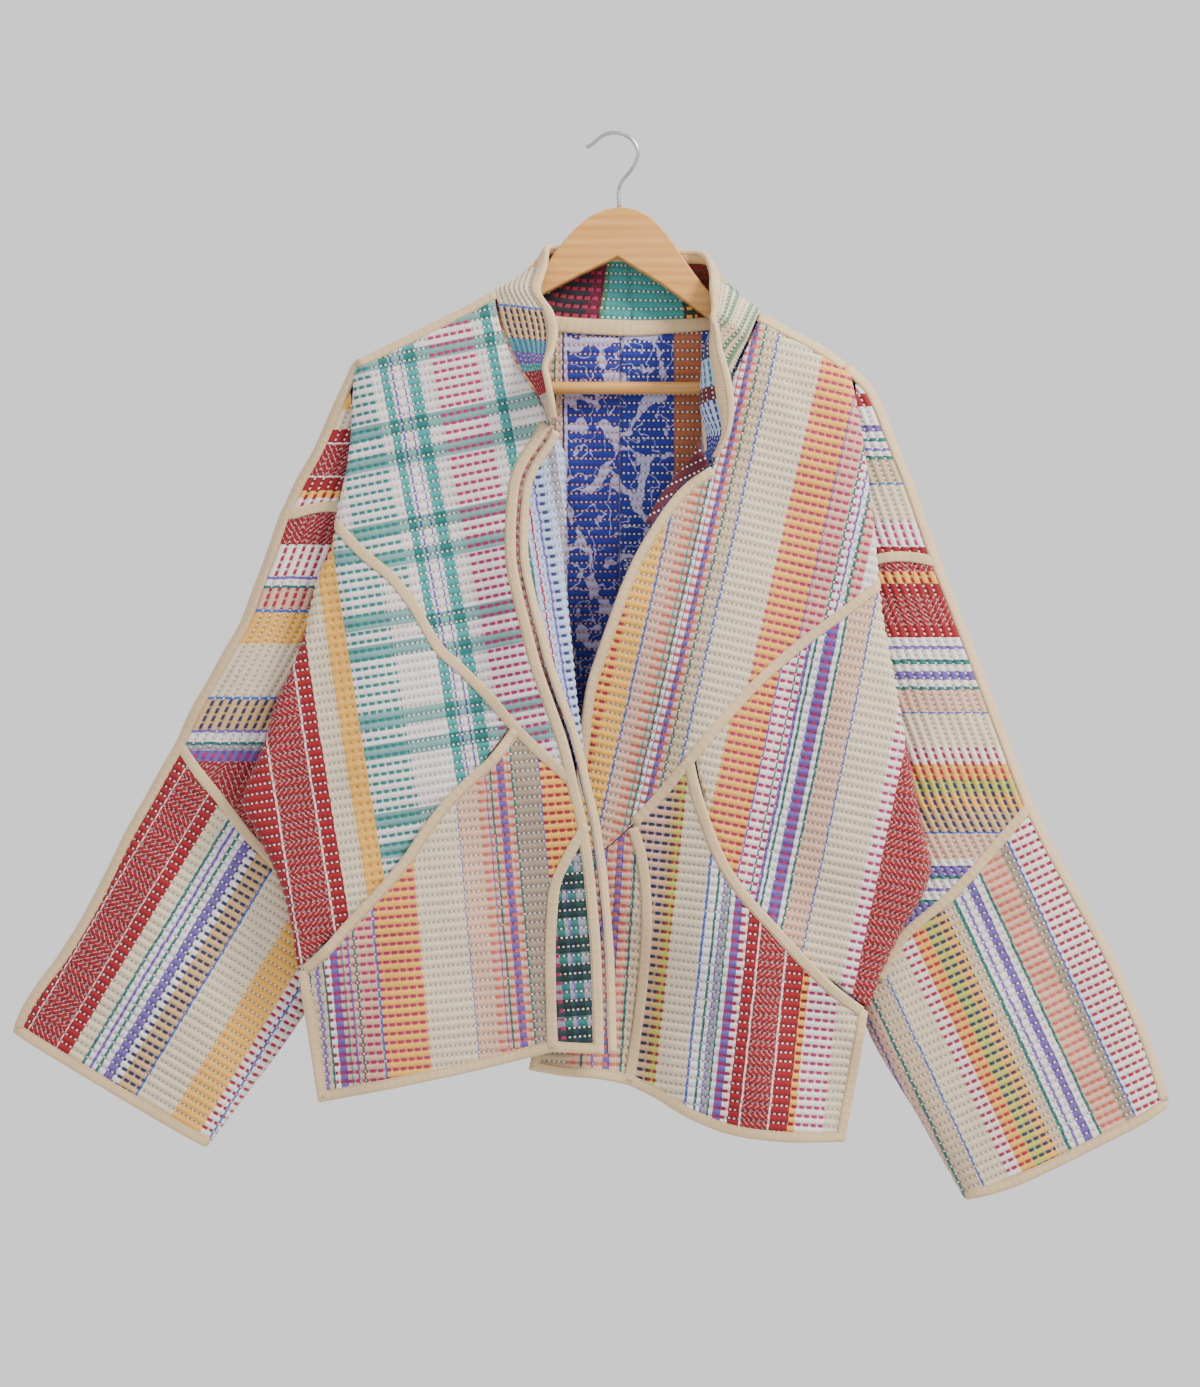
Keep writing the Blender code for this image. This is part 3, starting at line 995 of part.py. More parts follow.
def build():
    for old in list(bpy.data.objects):
        bpy.data.objects.remove(old, do_unlink=True)
    tape = material("bias_tape", TAPE_COLOUR, 0.8)
    finishes = {name: material("cloth_" + name, colour, 0.9) for name, colour in COLOURS.items()}
    for name in PANELS:
        add_panel(name, finishes[name])
    table = add_collar(finishes)
    add_collar_tapes(table, tape)

    # Tapes over the seams
    for s, turn in (("right", 1), ("left", -1)):
        front, side, pocket, centre = ("front_%s_%s" % (n, s) for n in ("upper", "side", "pocket", "centre"))
        cap, middle, cuff = ("sleeve_%s_%s" % (n, s) for n in ("upper", "middle", "lower"))
        back_cap, back_cuff = "sleeve_back_upper_" + s, "sleeve_back_lower_" + s
        add_ridge_binding("shoulder_tape_" + s, s, [front], ["back_" + s], (s + "_shoulder",),
                          turn, tape, 1.0, 2.0)
        add_ridge_binding(
            "overarm_tape_" + s, "sleeve", [cap, middle, cuff], [back_cap, back_cuff],
            (s + "_overarm_high", s + "_overarm_middle", s + "_overarm_low"), turn, tape, 1.5, 10.0)
        slant = (s + "_slant_high", s + "_slant_low")
        add_tape("slant_tape_" + s, s, slant, [front, side, pocket], tape, 10.0, 24.0)
        add_tape("upright_tape_" + s, s, (s + "_upright",), [pocket, centre], tape, 26.0, 12.0)
        add_tape("cap_tape_" + s, "sleeve", (s + "_cap",), [cap, middle], tape, 16.0, 12.0)
        add_tape("elbow_tape_" + s, "sleeve", (s + "_elbow",), [middle, cuff], tape, 16.0, 12.0)
        add_tape("back_elbow_tape_" + s, "back", (s + "_elbow", s + "_elbow_end"),
                 [back_cap, back_cuff], tape, 16.0, 48.0)
        add_tape("armhole_tape_" + s, "back", (s + "_armhole",), ["back_" + s, back_cap], tape, 34.0, 22.0)
        add_binding("pocket_binding_" + s, s, [pocket], (s + "_pocket",), turn, tape, 20.0, 26.0,
                    lifted=True)
        add_binding("cuff_binding_" + s, "sleeve", [cuff], (s + "_cuff",), turn, tape, 10.0, 10.0)
        add_binding("back_cuff_binding_" + s, "back", [back_cuff], (s + "_cuff",), turn, tape, 10.0, 10.0)
    add_binding("hem_binding_right", "right", ["front_pocket_right", "front_centre_right"],
                ("right_vent", "right_hem_outer", "right_hem_inner"), 1, tape, 16.0, 12.0, lifted=True)
    add_binding("hem_binding_left", "left", ["front_pocket_left", "front_centre_left"],
                ("left_vent", "-left_hem_outer", "-left_hem_inner"), -1, tape, 10.0, 13.0, lifted=True)
    add_binding("hem_binding_back", "back", ["back_right", "back_left"],
                ("back_vent_right", "back_hem_right", "back_hem_left", "-back_vent_left"),
                1, tape, 45.0, 45.0)
    add_binding("edge_binding_right", "right", ["front_upper_right", "front_pocket_right", "front_centre_right"],
                ("right_edge_high", "right_edge_middle", "right_edge_low"), -1, tape, 2.0, 0.5)
    add_edge_tape("facing_tape_right", "facing_right", ["facing_right"],
                  ("right_edge_high", "right_edge_middle", "right_edge_low"), 1, tape, 4.0, 0.5, 6.0)
    add_binding("edge_binding_left", "left", ["front_upper_left", "front_centre_left"],
                ("left_edge_high", "left_edge_low"), 1, tape, 2.0, 0.5)
    add_tape("back_seam_tape", "back", ("back_seam",), ["back_right", "back_left"], tape, 12.0, 11.0)

    # The hanger
    wood = material("pine", WOOD_COLOUR, 0.5)
    add_board(wood)
    ends = [(BAR_FROM, 0.0, BAR_LEVEL), (BAR_TO, 0.0, BAR_LEVEL)]
    add_rod("hanger_bar", ends, DOWEL, 14, wood)
    line = spline(WIRE_LINE, 8.0)
    add_rod("hanger_hook", np.column_stack([line[:, 0], np.zeros(len(line)), line[:, 1]]), WIRE, 10,
            material("steel", STEEL_COLOUR, 0.2, 1.0))


build()
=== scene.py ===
"""Looks of the patchwork jacket on its hanger: quilted cloth, bias tape, pine and steel.

The tables of seams, collar and folds are those of the jacket's solids, in millimetres from the point where
the hook bears, x to the viewer's right and z up. Each piece of cloth is drawn again as a finer shell with
its rows of stitching as ribs, and carries two values for its material: the distance along a row, in mm,
and the row's number.
"""

import math

import bpy
import numpy as np
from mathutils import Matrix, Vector
from mathutils.geometry import delaunay_2d_cdt


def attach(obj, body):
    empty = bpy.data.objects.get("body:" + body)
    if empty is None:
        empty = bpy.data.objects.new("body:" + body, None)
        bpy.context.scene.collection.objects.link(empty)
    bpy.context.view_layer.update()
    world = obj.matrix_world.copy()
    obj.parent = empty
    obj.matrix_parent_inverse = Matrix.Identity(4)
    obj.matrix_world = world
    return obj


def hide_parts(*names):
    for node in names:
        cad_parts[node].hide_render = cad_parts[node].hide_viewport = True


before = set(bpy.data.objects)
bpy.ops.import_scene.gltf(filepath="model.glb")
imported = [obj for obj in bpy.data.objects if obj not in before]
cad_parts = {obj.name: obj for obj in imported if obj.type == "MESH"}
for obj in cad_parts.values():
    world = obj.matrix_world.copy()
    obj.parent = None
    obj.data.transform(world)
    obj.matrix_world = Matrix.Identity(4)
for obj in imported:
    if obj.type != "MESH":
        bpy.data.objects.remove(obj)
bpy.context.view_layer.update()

# Sizes in millimetres, the same as those of the solids
WALL = 2.4
GAP = 0.3
TAPE_WIDTH = 9.0
RIDGE_LIFT = 9.5
RIDGE_REACH = 6.0
FRONT_DEPTH = 36.0
FOLD_RADIUS = 11.0
FOLD_TAIL = 5.0
FOLD_REST = 17.5
FACING_RADIUS = 7.0
POCKET_LIFT = 7.0
POCKET_LAP = 13.0
SEAM_STEP = 5.0
ROLL_STEP = 5.0

# Sizes of the finer shells
ROW_PITCH = 7.6  # from one row of stitching to the next
RIB_LEVELS = (0.0, 0.22, 0.5, 0.78)  # where a rib has points across it
RIB_HEIGHT = 1.7
RIB_SUNK = 0.55  # how far a row's stitches draw the cloth below its solid's face
REVERSE_RIB = 1.0
COLUMN_STEP = 5.2
TAPE_STEP = 4.0
PRESSED = 0.3  # what is left of a rib's height where a tape holds it down
PRESSED_REACH = 8.0
STITCH = 4.4  # one stitch and the space after it

# Seams and edges of the hung jacket: places (x, z) in mm. "right" is the wearer's right.
SEAMS = {
    "right_shoulder": ((-103.6, -135), (-123.4, -146.2), (-153.5, -161.7), (-187.9, -178.9),
        (-224.9, -196.1)),
    "right_neck": ((-103.6, -135), (-101, -148.8), (-97, -167.7), (-90.1, -185.8), (-80.6, -206.1),
        (-68.4, -223.6), (-60, -239.1), (-52.9, -256.3)),
    "right_fold_high": ((-224.9, -196.1), (-226.2, -237.4), (-227.5, -266.6), (-232.6, -301),
        (-236.9, -320.8), (-239.5, -339.7)),
    "right_fold_low": ((-239.5, -339.7), (-244.7, -365.5), (-253.3, -380.1), (-259.3, -404.2),
        (-267.9, -440.3), (-278.2, -466.1), (-291.1, -493.6), (-302.3, -534.1), (-316.1, -566.7),
        (-319.5, -580.5), (-310.9, -596.8), (-299.7, -619.2), (-289.4, -641.6), (-280.8, -665.6),
        (-275.2, -693.2), (-271.3, -720.7)),
    "right_slant_high": ((-239.5, -339.7), (-212.2, -368), (-189.8, -386.6), (-175, -405.1),
        (-163.8, -424), (-148.8, -448.1), (-128.3, -466.8), (-107.9, -487.3), (-87.3, -511.7)),
    "right_slant_low": ((-87.3, -511.7), (-63.2, -535.8), (-33.1, -562.4)),
    "right_pocket": ((-87.3, -511.7), (-107.9, -539.2), (-128.6, -558.1), (-147, -576.8),
        (-165.6, -601.1), (-180.5, -623.5), (-205.1, -652.7), (-230.9, -680.3), (-254.1, -706.1),
        (-271.3, -720.7)),
    "right_edge_high": ((-52.9, -256.3), (-62.4, -272.6), (-71.8, -286.4), (-78.7, -301.9),
        (-81.7, -323.4), (-83, -349.2), (-82.1, -373.2), (-77.4, -397.8), (-68.5, -433.2),
        (-59.9, -464.9), (-49.4, -494.5), (-38, -528), (-31.4, -555.6), (-30.1, -562.4)),
    "right_edge_middle": ((-30.1, -562.4), (-26.7, -575.3), (-21.9, -596)),
    "right_edge_low": ((-21.9, -596), (-17.2, -626.9), (-13.3, -663.1), (-9.9, -706.1), (-8.4, -749.1),
        (-7.3, -793.8)),
    "right_upright": ((-21.9, -596), (-40, -626.9), (-48.6, -645.9), (-52.9, -680.3), (-53.8, -714.7),
        (-52, -792.1)),
    "right_hem_outer": ((-254.1, -837.6), (-183.6, -823), (-114.8, -808.4), (-52, -792.1)),
    "right_hem_inner": ((-52, -792.1), (-7.3, -793.8)),
    "right_vent": ((-271.3, -720.7), (-266.2, -755.9), (-254.1, -837.6)),
    "right_facing_fold": ((-49.4, -258.9), (-43.4, -276.1), (-41.7, -301.9), (-41.3, -336.3),
        (-40.9, -392.2), (-36, -440.3), (-32.2, -485), (-27.1, -521.2), (-20.2, -559.9),
        (-12.5, -594.3), (-6.9, -626.9), (-3, -663.1), (0.4, -706.1), (2.1, -749.1), (3, -792.1)),
    "right_overarm_high": ((-224.9, -196.1), (-238.7, -224.5), (-250.7, -252), (-263.6, -279.5),
        (-274.8, -299.3), (-290.2, -331.1)),
    "right_overarm_middle": ((-290.2, -331.1), (-298, -354.3), (-310.9, -388.7), (-323.8, -423.1),
        (-338.4, -448.9), (-351.3, -472.1), (-363.4, -492.8), (-378.8, -525.5)),
    "right_overarm_low": ((-378.8, -525.5), (-396, -556.4), (-423.6, -605.4), (-453.6, -665.6),
        (-483.8, -715.5), (-500.1, -737), (-513.9, -759.4), (-522.5, -778.3)),
    "right_cap": ((-290.2, -331.1), (-278.2, -330.2), (-265.3, -326.8), (-252.4, -324.2),
        (-238.7, -324.2), (-219.7, -331.1)),
    "right_elbow": ((-378.8, -525.5), (-359.9, -553), (-336.7, -581.4), (-313.5, -611.5),
        (-294.6, -630.4), (-281.6, -650.2), (-259.3, -684.6)),
    "right_elbow_end": ((-259.3, -684.6), (-249, -701.8), (-239.5, -719)),
    "right_cuff": ((-522.5, -778.3), (-467.4, -811.8), (-411.5, -845.4), (-352.2, -879.8)),
    "right_underarm": ((-239.5, -719), (-254.1, -743), (-269.6, -767.1), (-294.6, -803.2),
        (-319.5, -835.9), (-352.2, -879.8)),
    "right_armhole": ((-224.9, -196.1), (-226.6, -250.3), (-230.9, -319.1), (-239.5, -405.1),
        (-250.7, -491.1), (-256.7, -577.1), (-250.7, -663.1), (-239.5, -719)),
    "right_sleeve_hidden_high": ((-227, -222.7), (-225.8, -237.4), (-218, -258.9), (-214.6, -293.3),
        (-219.7, -331.1)),
    "right_sleeve_hidden_low": ((-219.7, -331.1), (-233.5, -405.1), (-254.1, -473.9), (-278.2, -542.7),
        (-291.1, -580.5), (-278.2, -620.1), (-259.3, -684.6)),
    "back_vent_right": ((-239.5, -719), (-243.8, -766.3), (-250.7, -827.3)),
    "back_hem_right": ((-250.7, -827.3), (-187.9, -823), (-149.2, -818.7), (-114.8, -813.6),
        (-68.4, -802.4), (5.6, -797.2)),
    "back_hem_left": ((5.6, -797.2), (74.4, -814.4), (143.2, -835.1), (201.7, -857.4)),
    "back_seam": ((5.6, -168.6), (5.6, -491.1), (5.6, -797.2)),
    "back_vent_left": ((213.7, -762), (210.3, -809.3), (201.7, -857.4)),
    "back_neck_right": ((-103.6, -135), (-87.3, -149.6), (-67.5, -160), (-46, -165.1), (5.6, -168.6)),
    "back_neck_left": ((5.6, -168.6), (40, -167.7), (78.7, -165.1), (104.5, -161.7), (127.7, -154.8)),
    "left_shoulder": ((127.7, -154.8), (160.4, -172), (186.2, -186.6), (203.4, -198.7)),
    "left_neck": ((127.7, -154.8), (117.4, -179.7), (110.5, -195.2), (105.3, -206.4), (97.6, -222.7),
        (89, -239.9), (83.8, -260.6), (83.8, -289.8)),
    "left_edge_high": ((83.8, -289.8), (62.4, -304.4), (45.1, -323.4), (33.1, -341.4), (20.2, -362.9),
        (7.3, -390.4), (-3, -418), (-13.3, -447.2), (-21.9, -473), (-27.9, -506.5), (-31.4, -542.7),
        (-35.7, -577.1), (-40.9, -635.5)),
    "left_edge_low": ((-40.9, -635.5), (-46, -667.4), (-58.9, -749.1), (-73.5, -810.1)),
    "left_facing_fold": ((73.5, -265.7), (66.7, -282.1), (51.2, -300.1), (35.7, -321.6),
        (26.2, -339.7)),
    "left_fold_high": ((203.4, -198.7), (210.3, -233.1), (217.2, -276.1), (222.3, -319.1),
        (226.6, -353.5), (229.2, -392.2)),
    "left_fold_low": ((229.2, -392.2), (232.6, -422.3), (240.4, -465.3), (249, -512.6),
        (259.3, -568.5), (267, -607.2), (273.1, -635.5), (267, -656.2), (250.7, -684.6),
        (234.3, -716.4), (218.9, -755.9)),
    "left_slant_high": ((229.2, -392.2), (194.8, -418), (160.4, -443.8), (126, -473.9), (95.9, -505.7),
        (69.2, -537.5)),
    "left_slant_low": ((69.2, -537.5), (44.3, -568.5), (15.9, -599.4)),
    "left_slant_end": ((15.9, -599.4), (-8.2, -620.1), (-40.9, -635.5)),
    "left_pocket": ((69.2, -537.5), (74.4, -564.2), (84.7, -596), (97.6, -626.9), (115.7, -654.5),
        (138.9, -680.3), (164.7, -708.6), (190.5, -734.4), (218.9, -755.9)),
    "left_upright": ((15.9, -599.4), (22.8, -620.1), (27.1, -645.9), (28.8, -671.7), (27.1, -714.7),
        (22.8, -757.7), (16.8, -800.7), (12.5, -823.9)),
    "left_hem_inner": ((-73.5, -810.1), (-46, -815.3), (-11.6, -818.7), (12.5, -823.9)),
    "left_hem_outer": ((12.5, -823.9), (35.7, -834.2), (61.5, -848.8), (91.6, -860.9), (143.2, -869.5),
        (199.1, -871.2)),
    "left_vent": ((218.9, -755.9), (212, -800.7), (199.1, -871.2)),
    "left_overarm_high": ((203.4, -198.7), (213.7, -207.3), (224, -217.6), (232.6, -233.1),
        (242.1, -257.1), (256.7, -293.3), (285.1, -373.2)),
    "left_overarm_middle": ((285.1, -373.2), (310.9, -439.5), (336.7, -508.3), (363.4, -579.6)),
    "left_overarm_low": ((363.4, -579.6), (385.7, -624.4), (409.8, -667.4), (433, -710.4),
        (450.2, -749.1), (468.3, -792.1), (483.8, -841.9)),
    "left_cap": ((285.1, -373.2), (263.6, -368.1), (242.1, -367.2), (224.9, -370.7), (208.5, -381)),
    "left_elbow": ((363.4, -579.6), (332.4, -615.8), (293.7, -658.8), (246.4, -701.8), (227.5, -736.2)),
    "left_elbow_end": ((227.5, -736.2), (220.6, -749.1), (213.7, -762)),
    "left_cuff": ((483.8, -841.9), (461.4, -856.6), (427, -874.6), (384, -896.1), (341, -915),
        (304.9, -925.4)),
    "left_underarm": ((213.7, -762), (224.9, -787.8), (242.1, -817.9), (263.6, -852.3), (285.1, -891),
        (304.9, -925.4)),
    "left_armhole": ((203.4, -198.7), (212, -276.1), (217.2, -362.1), (227.5, -448.1), (236.1, -534.1),
        (237.8, -620.1), (229.2, -697.5), (213.7, -762)),
    "left_sleeve_hidden_high": ((209.4, -217.6), (209.4, -234.8), (203.4, -260.6), (203.4, -301.9),
        (208.5, -381)),
    "left_sleeve_hidden_low": ((208.5, -381), (217.2, -456.7), (230.9, -525.5), (244.7, -594.3),
        (249, -635.5), (240.4, -667.4), (227.5, -736.2)),
}
SEAMS["left_facing_edge"] = SEAMS["left_edge_high"][:4]
RIGHT_EDGE = ("right_edge_high", "right_edge_middle", "right_edge_low")

# Collar stations from one front corner round the neck to the other:
# seam (x, y, z), middle (x, y, z) and top edge (x, y, z), in mm
COLLAR = (
    ((-52.9, -40, -255.5), (-52.5, -47, -253.5), (-52.0, -54, -251.0)),
    ((-60.0, -39, -239.0), (-56.0, -50, -238.5), (-53.5, -60, -238.0)),
    ((-68.4, -37, -223.5), (-60.0, -51, -222.0), (-57.0, -61, -221.0)),
    ((-80.6, -35, -206.0), (-66.0, -50, -206.5), (-58.0, -58, -207.5)),
    ((-90.1, -31, -185.8), (-68.0, -43, -190.0), (-51.5, -52, -192.5)),
    ((-97.0, -25, -167.7), (-71.0, -36, -172.0), (-48.0, -45, -175.0)),
    ((-101.0, -15, -148.8), (-76.0, -29, -153.0), (-52.0, -37, -157.0)),
    ((-103.6, -3, -134.0), (-84.0, -20, -136.0), (-62.5, -28, -138.5)),
    ((-99.0, 5, -135.5), (-80.0, -6, -122.0), (-57.0, -16, -115.0)),
    ((-92.0, 11, -142.0), (-74.5, 3, -118.0), (-57.0, -9, -100.0)),
    ((-82.0, 14, -150.0), (-68.0, 11, -117.0), (-56.0, 3, -94.5)),
    ((-66.0, 17, -160.0), (-54.0, 17, -124.0), (-43.0, 15, -94.5)),
    ((-46.0, 19, -165.0), (-34.0, 19, -128.0), (-24.0, 18, -94.5)),
    ((15.0, 20, -168.2), (15.0, 21, -130.0), (15.0, 21, -95.5)),
    ((50.0, 19, -166.8), (47.0, 21, -131.0), (44.0, 20, -95.5)),
    ((78.7, 18, -164.8), (72.0, 19, -131.0), (64.0, 17, -96.5)),
    ((104.0, 15, -161.2), (91.0, 14, -130.0), (76.5, 8, -98.5)),
    ((120.0, 8, -155.5), (103.0, 4, -133.0), (82.0, -6, -109.0)),
    ((127.7, -3, -154.0), (108.0, -11, -139.0), (83.0, -17, -123.0)),
    ((123.5, -15, -165.0), (106.0, -24, -147.0), (82.5, -27, -136.5)),
    ((117.4, -24, -179.7), (99.0, -35, -164.0), (84.5, -37, -154.0)),
    ((114.0, -26, -187.5), (92.5, -37, -171.0), (86.0, -45, -163.5)),
    ((110.5, -28, -195.2), (86.5, -39, -178.5), (90.5, -50, -174.5)),
    ((105.3, -31, -206.4), (79.0, -40, -195.0), (94.0, -52, -191.5)),
    ((97.6, -33, -222.7), (77.5, -41, -215.0), (100.0, -56, -211.5)),
    ((89.0, -35, -239.9), (77.0, -43, -234.0), (103.5, -58, -229.0)),
    ((82.0, -36, -252.5), (81.0, -46, -249.5), (103.5, -58, -246.0)),
    ((79.5, -37, -264.0), (87.0, -49, -263.0), (99.3, -56, -263.5)),
    ((81.0, -38, -277.5), (86.0, -47, -277.5), (92.0, -52, -277.5)),
    ((82.6, -41, -285.0), (85.0, -45, -284.5), (88.0, -49, -284.0)),
)
COLLAR_MIDDLE = 13  # the station at the centre of the back

# Soft folds: side, foot (x, z) and head (x, z) of the crest in mm, half width, rise towards the viewer
FOLDS = (
    ("right", (-205, -560), (-215, -300), 34, 7.0),
    ("right", (-120, -520), (-150, -260), 30, -4.0),
    ("right", (-85, -800), (-60, -560), 32, -5.0),
    ("right", (-190, -820), (-150, -640), 45, 5.0),
    ("right", (-70, -480), (-95, -330), 24, 5.0),
    ("left", (120, -860), (110, -650), 38, 13.0),
    ("left", (10, -830), (30, -690), 26, -9.0),
    ("left", (60, -560), (115, -330), 34, 6.0),
    ("left", (150, -520), (160, -260), 32, -4.0),
    ("left", (190, -640), (205, -430), 34, 7.0),
    ("left", (-45, -790), (-25, -650), 24, -4.0),
    ("sleeve", (-300, -800), (-400, -560), 26, -3.5),
    ("sleeve", (-430, -790), (-330, -620), 30, 3.5),
    ("sleeve", (340, -880), (300, -680), 28, 3.5),
    ("sleeve", (420, -840), (380, -640), 30, -3.0),
    ("sleeve", (280, -560), (255, -400), 26, 3.5),
    ("sleeve", (-330, -500), (-285, -350), 24, 3.0),
    ("back", (-60, -800), (-40, -330), 42, 7.0),
    ("back", (70, -800), (60, -300), 40, 6.0),
    ("back", (-170, -790), (-150, -420), 40, -5.0),
    ("back", (165, -820), (150, -400), 42, -5.0),
    ("back", (5, -820), (10, -420), 30, -5.0),
    ("back", (-400, -740), (-340, -560), 34, 4.0),
    ("back", (380, -800), (330, -600), 34, 4.0),
)

# Pieces of cloth: the surface each is cut from, the slope of its rows of stitching in degrees or the seam
# that they run beside, and the seams round it. A seam with "-" runs backwards,
# "+" is carried round the roll of its fold, and "=" is carried on behind a pocket's mouth.
PANELS = {
    "front_upper_right": ("right", 11.0, (
        "right_shoulder", "+right_fold_high", "right_slant_high", "right_slant_low",
        "-right_edge_high", "-right_neck")),
    "front_side_right": ("right", 9.0, ("+right_fold_low", "=-right_pocket", "-right_slant_high")),
    "front_pocket_right": ("right", 5.0, (
        "right_pocket", "right_vent", "right_hem_outer", "-right_upright",
        "-right_edge_middle", "-right_slant_low")),
    "front_centre_right": ("right", 5.0, ("right_upright", "right_hem_inner", "-right_edge_low")),
    "facing_right": ("facing_right", 9.0, (
        "right_edge_high", "right_edge_middle", "right_edge_low", "-+right_facing_fold")),
    "front_upper_left": ("left", -13.0, (
        "left_shoulder", "+left_fold_high", "left_slant_high", "left_slant_low",
        "left_slant_end", "-left_edge_high", "-left_neck")),
    "front_side_left": ("left", -12.0, ("+left_fold_low", "=-left_pocket", "-left_slant_high")),
    "front_pocket_left": ("left", -6.0, (
        "left_pocket", "left_vent", "-left_hem_outer", "-left_upright", "-left_slant_low")),
    "front_centre_left": ("left", -4.0, (
        "left_upright", "-left_hem_inner", "-left_edge_low", "-left_slant_end")),
    "facing_left": ("facing_left", 25.0, ("left_facing_edge", "-left_facing_fold")),
    "sleeve_upper_right": ("sleeve", "right_overarm", (
        "right_overarm_high", "right_cap", "-right_sleeve_hidden_high")),
    "sleeve_middle_right": ("sleeve", "right_overarm", (
        "right_overarm_middle", "right_elbow", "-right_sleeve_hidden_low", "-right_cap")),
    "sleeve_lower_right": ("sleeve", -31.0, (
        "right_overarm_low", "right_cuff", "-right_underarm", "-right_elbow_end", "-right_elbow")),
    "sleeve_upper_left": ("sleeve", "left_overarm", (
        "left_overarm_high", "left_cap", "-left_sleeve_hidden_high")),
    "sleeve_middle_left": ("sleeve", "left_overarm", (
        "left_overarm_middle", "left_elbow", "-left_sleeve_hidden_low", "-left_cap")),
    "sleeve_lower_left": ("sleeve", 25.0, (
        "left_overarm_low", "left_cuff", "-left_underarm", "-left_elbow_end", "-left_elbow")),
    "back_right": ("back", 0.0, (
        "-right_shoulder", "back_neck_right", "back_seam", "-back_hem_right",
        "-back_vent_right", "-right_armhole")),
    "back_left": ("back", 0.0, (
        "back_neck_left", "left_shoulder", "left_armhole", "back_vent_left",
        "-back_hem_left", "-back_seam")),
    "sleeve_back_upper_right": ("back", "right_overarm", (
        "right_overarm_high", "right_overarm_middle", "right_elbow", "right_elbow_end",
        "-right_armhole")),
    "sleeve_back_lower_right": ("back", -31.0, (
        "right_overarm_low", "right_cuff", "-right_underarm", "-right_elbow_end", "-right_elbow")),
    "sleeve_back_upper_left": ("back", "left_overarm", (
        "left_overarm_high", "left_overarm_middle", "left_elbow", "left_elbow_end",
        "-left_armhole")),
    "sleeve_back_lower_left": ("back", 25.0, (
        "left_overarm_low", "left_cuff", "-left_underarm", "-left_elbow_end", "-left_elbow")),
}

# How far the cloth is drawn in from each kind of line, in mm
DRAWN_IN = {
    "seam": 0.4, "neck": 0.8, "shoulder": 1.4, "overarm": 1.4, "underarm": 0.5, "edge": 2.2, "hem": 1.5,
    "vent": 1.5, "cuff": 1.5, "left_edge": 1.5, "facing_edge": 1.5, "pocket": 2.6,
}

# Smaller creases: side, foot and head of the crest, half width and rise, in mm
CREASES = (
    ("right", (-196, -262), (-226, -214), 9, 2.6),
    ("right", (-150, -205), (-205, -262), 11, -2.2),
    ("right", (-222, -420), (-238, -352), 8, 2.4),
    ("right", (-168, -330), (-200, -292), 12, 1.8),
    ("right", (-118, -700), (-142, -610), 15, 2.2),
    ("right", (-214, -760), (-190, -690), 13, -2.4),
    ("right", (-92, -790), (-84, -720), 12, 2.0),
    ("right", (-262, -560), (-240, -500), 14, 2.0),
    ("right", (-292, -640), (-262, -590), 12, -2.0),
    ("left", (196, -300), (212, -232), 9, 2.4),
    ("left", (150, -214), (192, -262), 11, -2.2),
    ("left", (70, -690), (98, -610), 12, 2.4),
    ("left", (160, -800), (150, -735), 14, -2.6),
    ("left", (60, -850), (56, -770), 13, 2.4),
    ("left", (216, -590), (236, -520), 12, 2.2),
    ("left", (128, -400), (170, -350), 13, 1.8),
    ("left", (20, -500), (52, -420), 12, 2.0),
    ("sleeve", (-262, -352), (-232, -320), 7, 1.3),
    ("sleeve", (-300, -420), (-252, -372), 10, 1.8),
    ("sleeve", (-352, -520), (-296, -470), 12, 2.0),
    ("sleeve", (-372, -548), (-318, -520), 9, -1.8),
    ("sleeve", (-360, -650), (-292, -622), 12, 2.2),
    ("sleeve", (-420, -700), (-330, -668), 14, -1.8),
    ("sleeve", (-455, -745), (-372, -738), 12, 1.7),
    ("sleeve", (258, -402), (232, -352), 8, 1.5),
    ("sleeve", (306, -512), (262, -462), 11, 2.0),
    ("sleeve", (338, -588), (288, -548), 11, -1.8),
    ("sleeve", (366, -668), (302, -640), 13, 2.2),
    ("sleeve", (396, -742), (318, -716), 12, -1.8),
    ("sleeve", (425, -812), (338, -792), 13, 1.8),
    ("back", (-196, -420), (-120, -250), 16, 2.4),
    ("back", (178, -470), (112, -262), 17, 2.2),
    ("back", (-30, -330), (-62, -215), 13, -2.0),
    ("back", (62, -345), (84, -220), 12, 2.0),
    ("back", (-102, -760), (-122, -640), 16, 2.4),
    ("back", (106, -790), (122, -650), 15, -2.4),
    ("back", (-330, -500), (-270, -430), 13, 2.0),
    ("back", (-392, -640), (-312, -600), 13, -1.8),
    ("back", (312, -530), (262, -452), 12, 2.0),
    ("back", (392, -720), (318, -668), 14, 2.0),
)

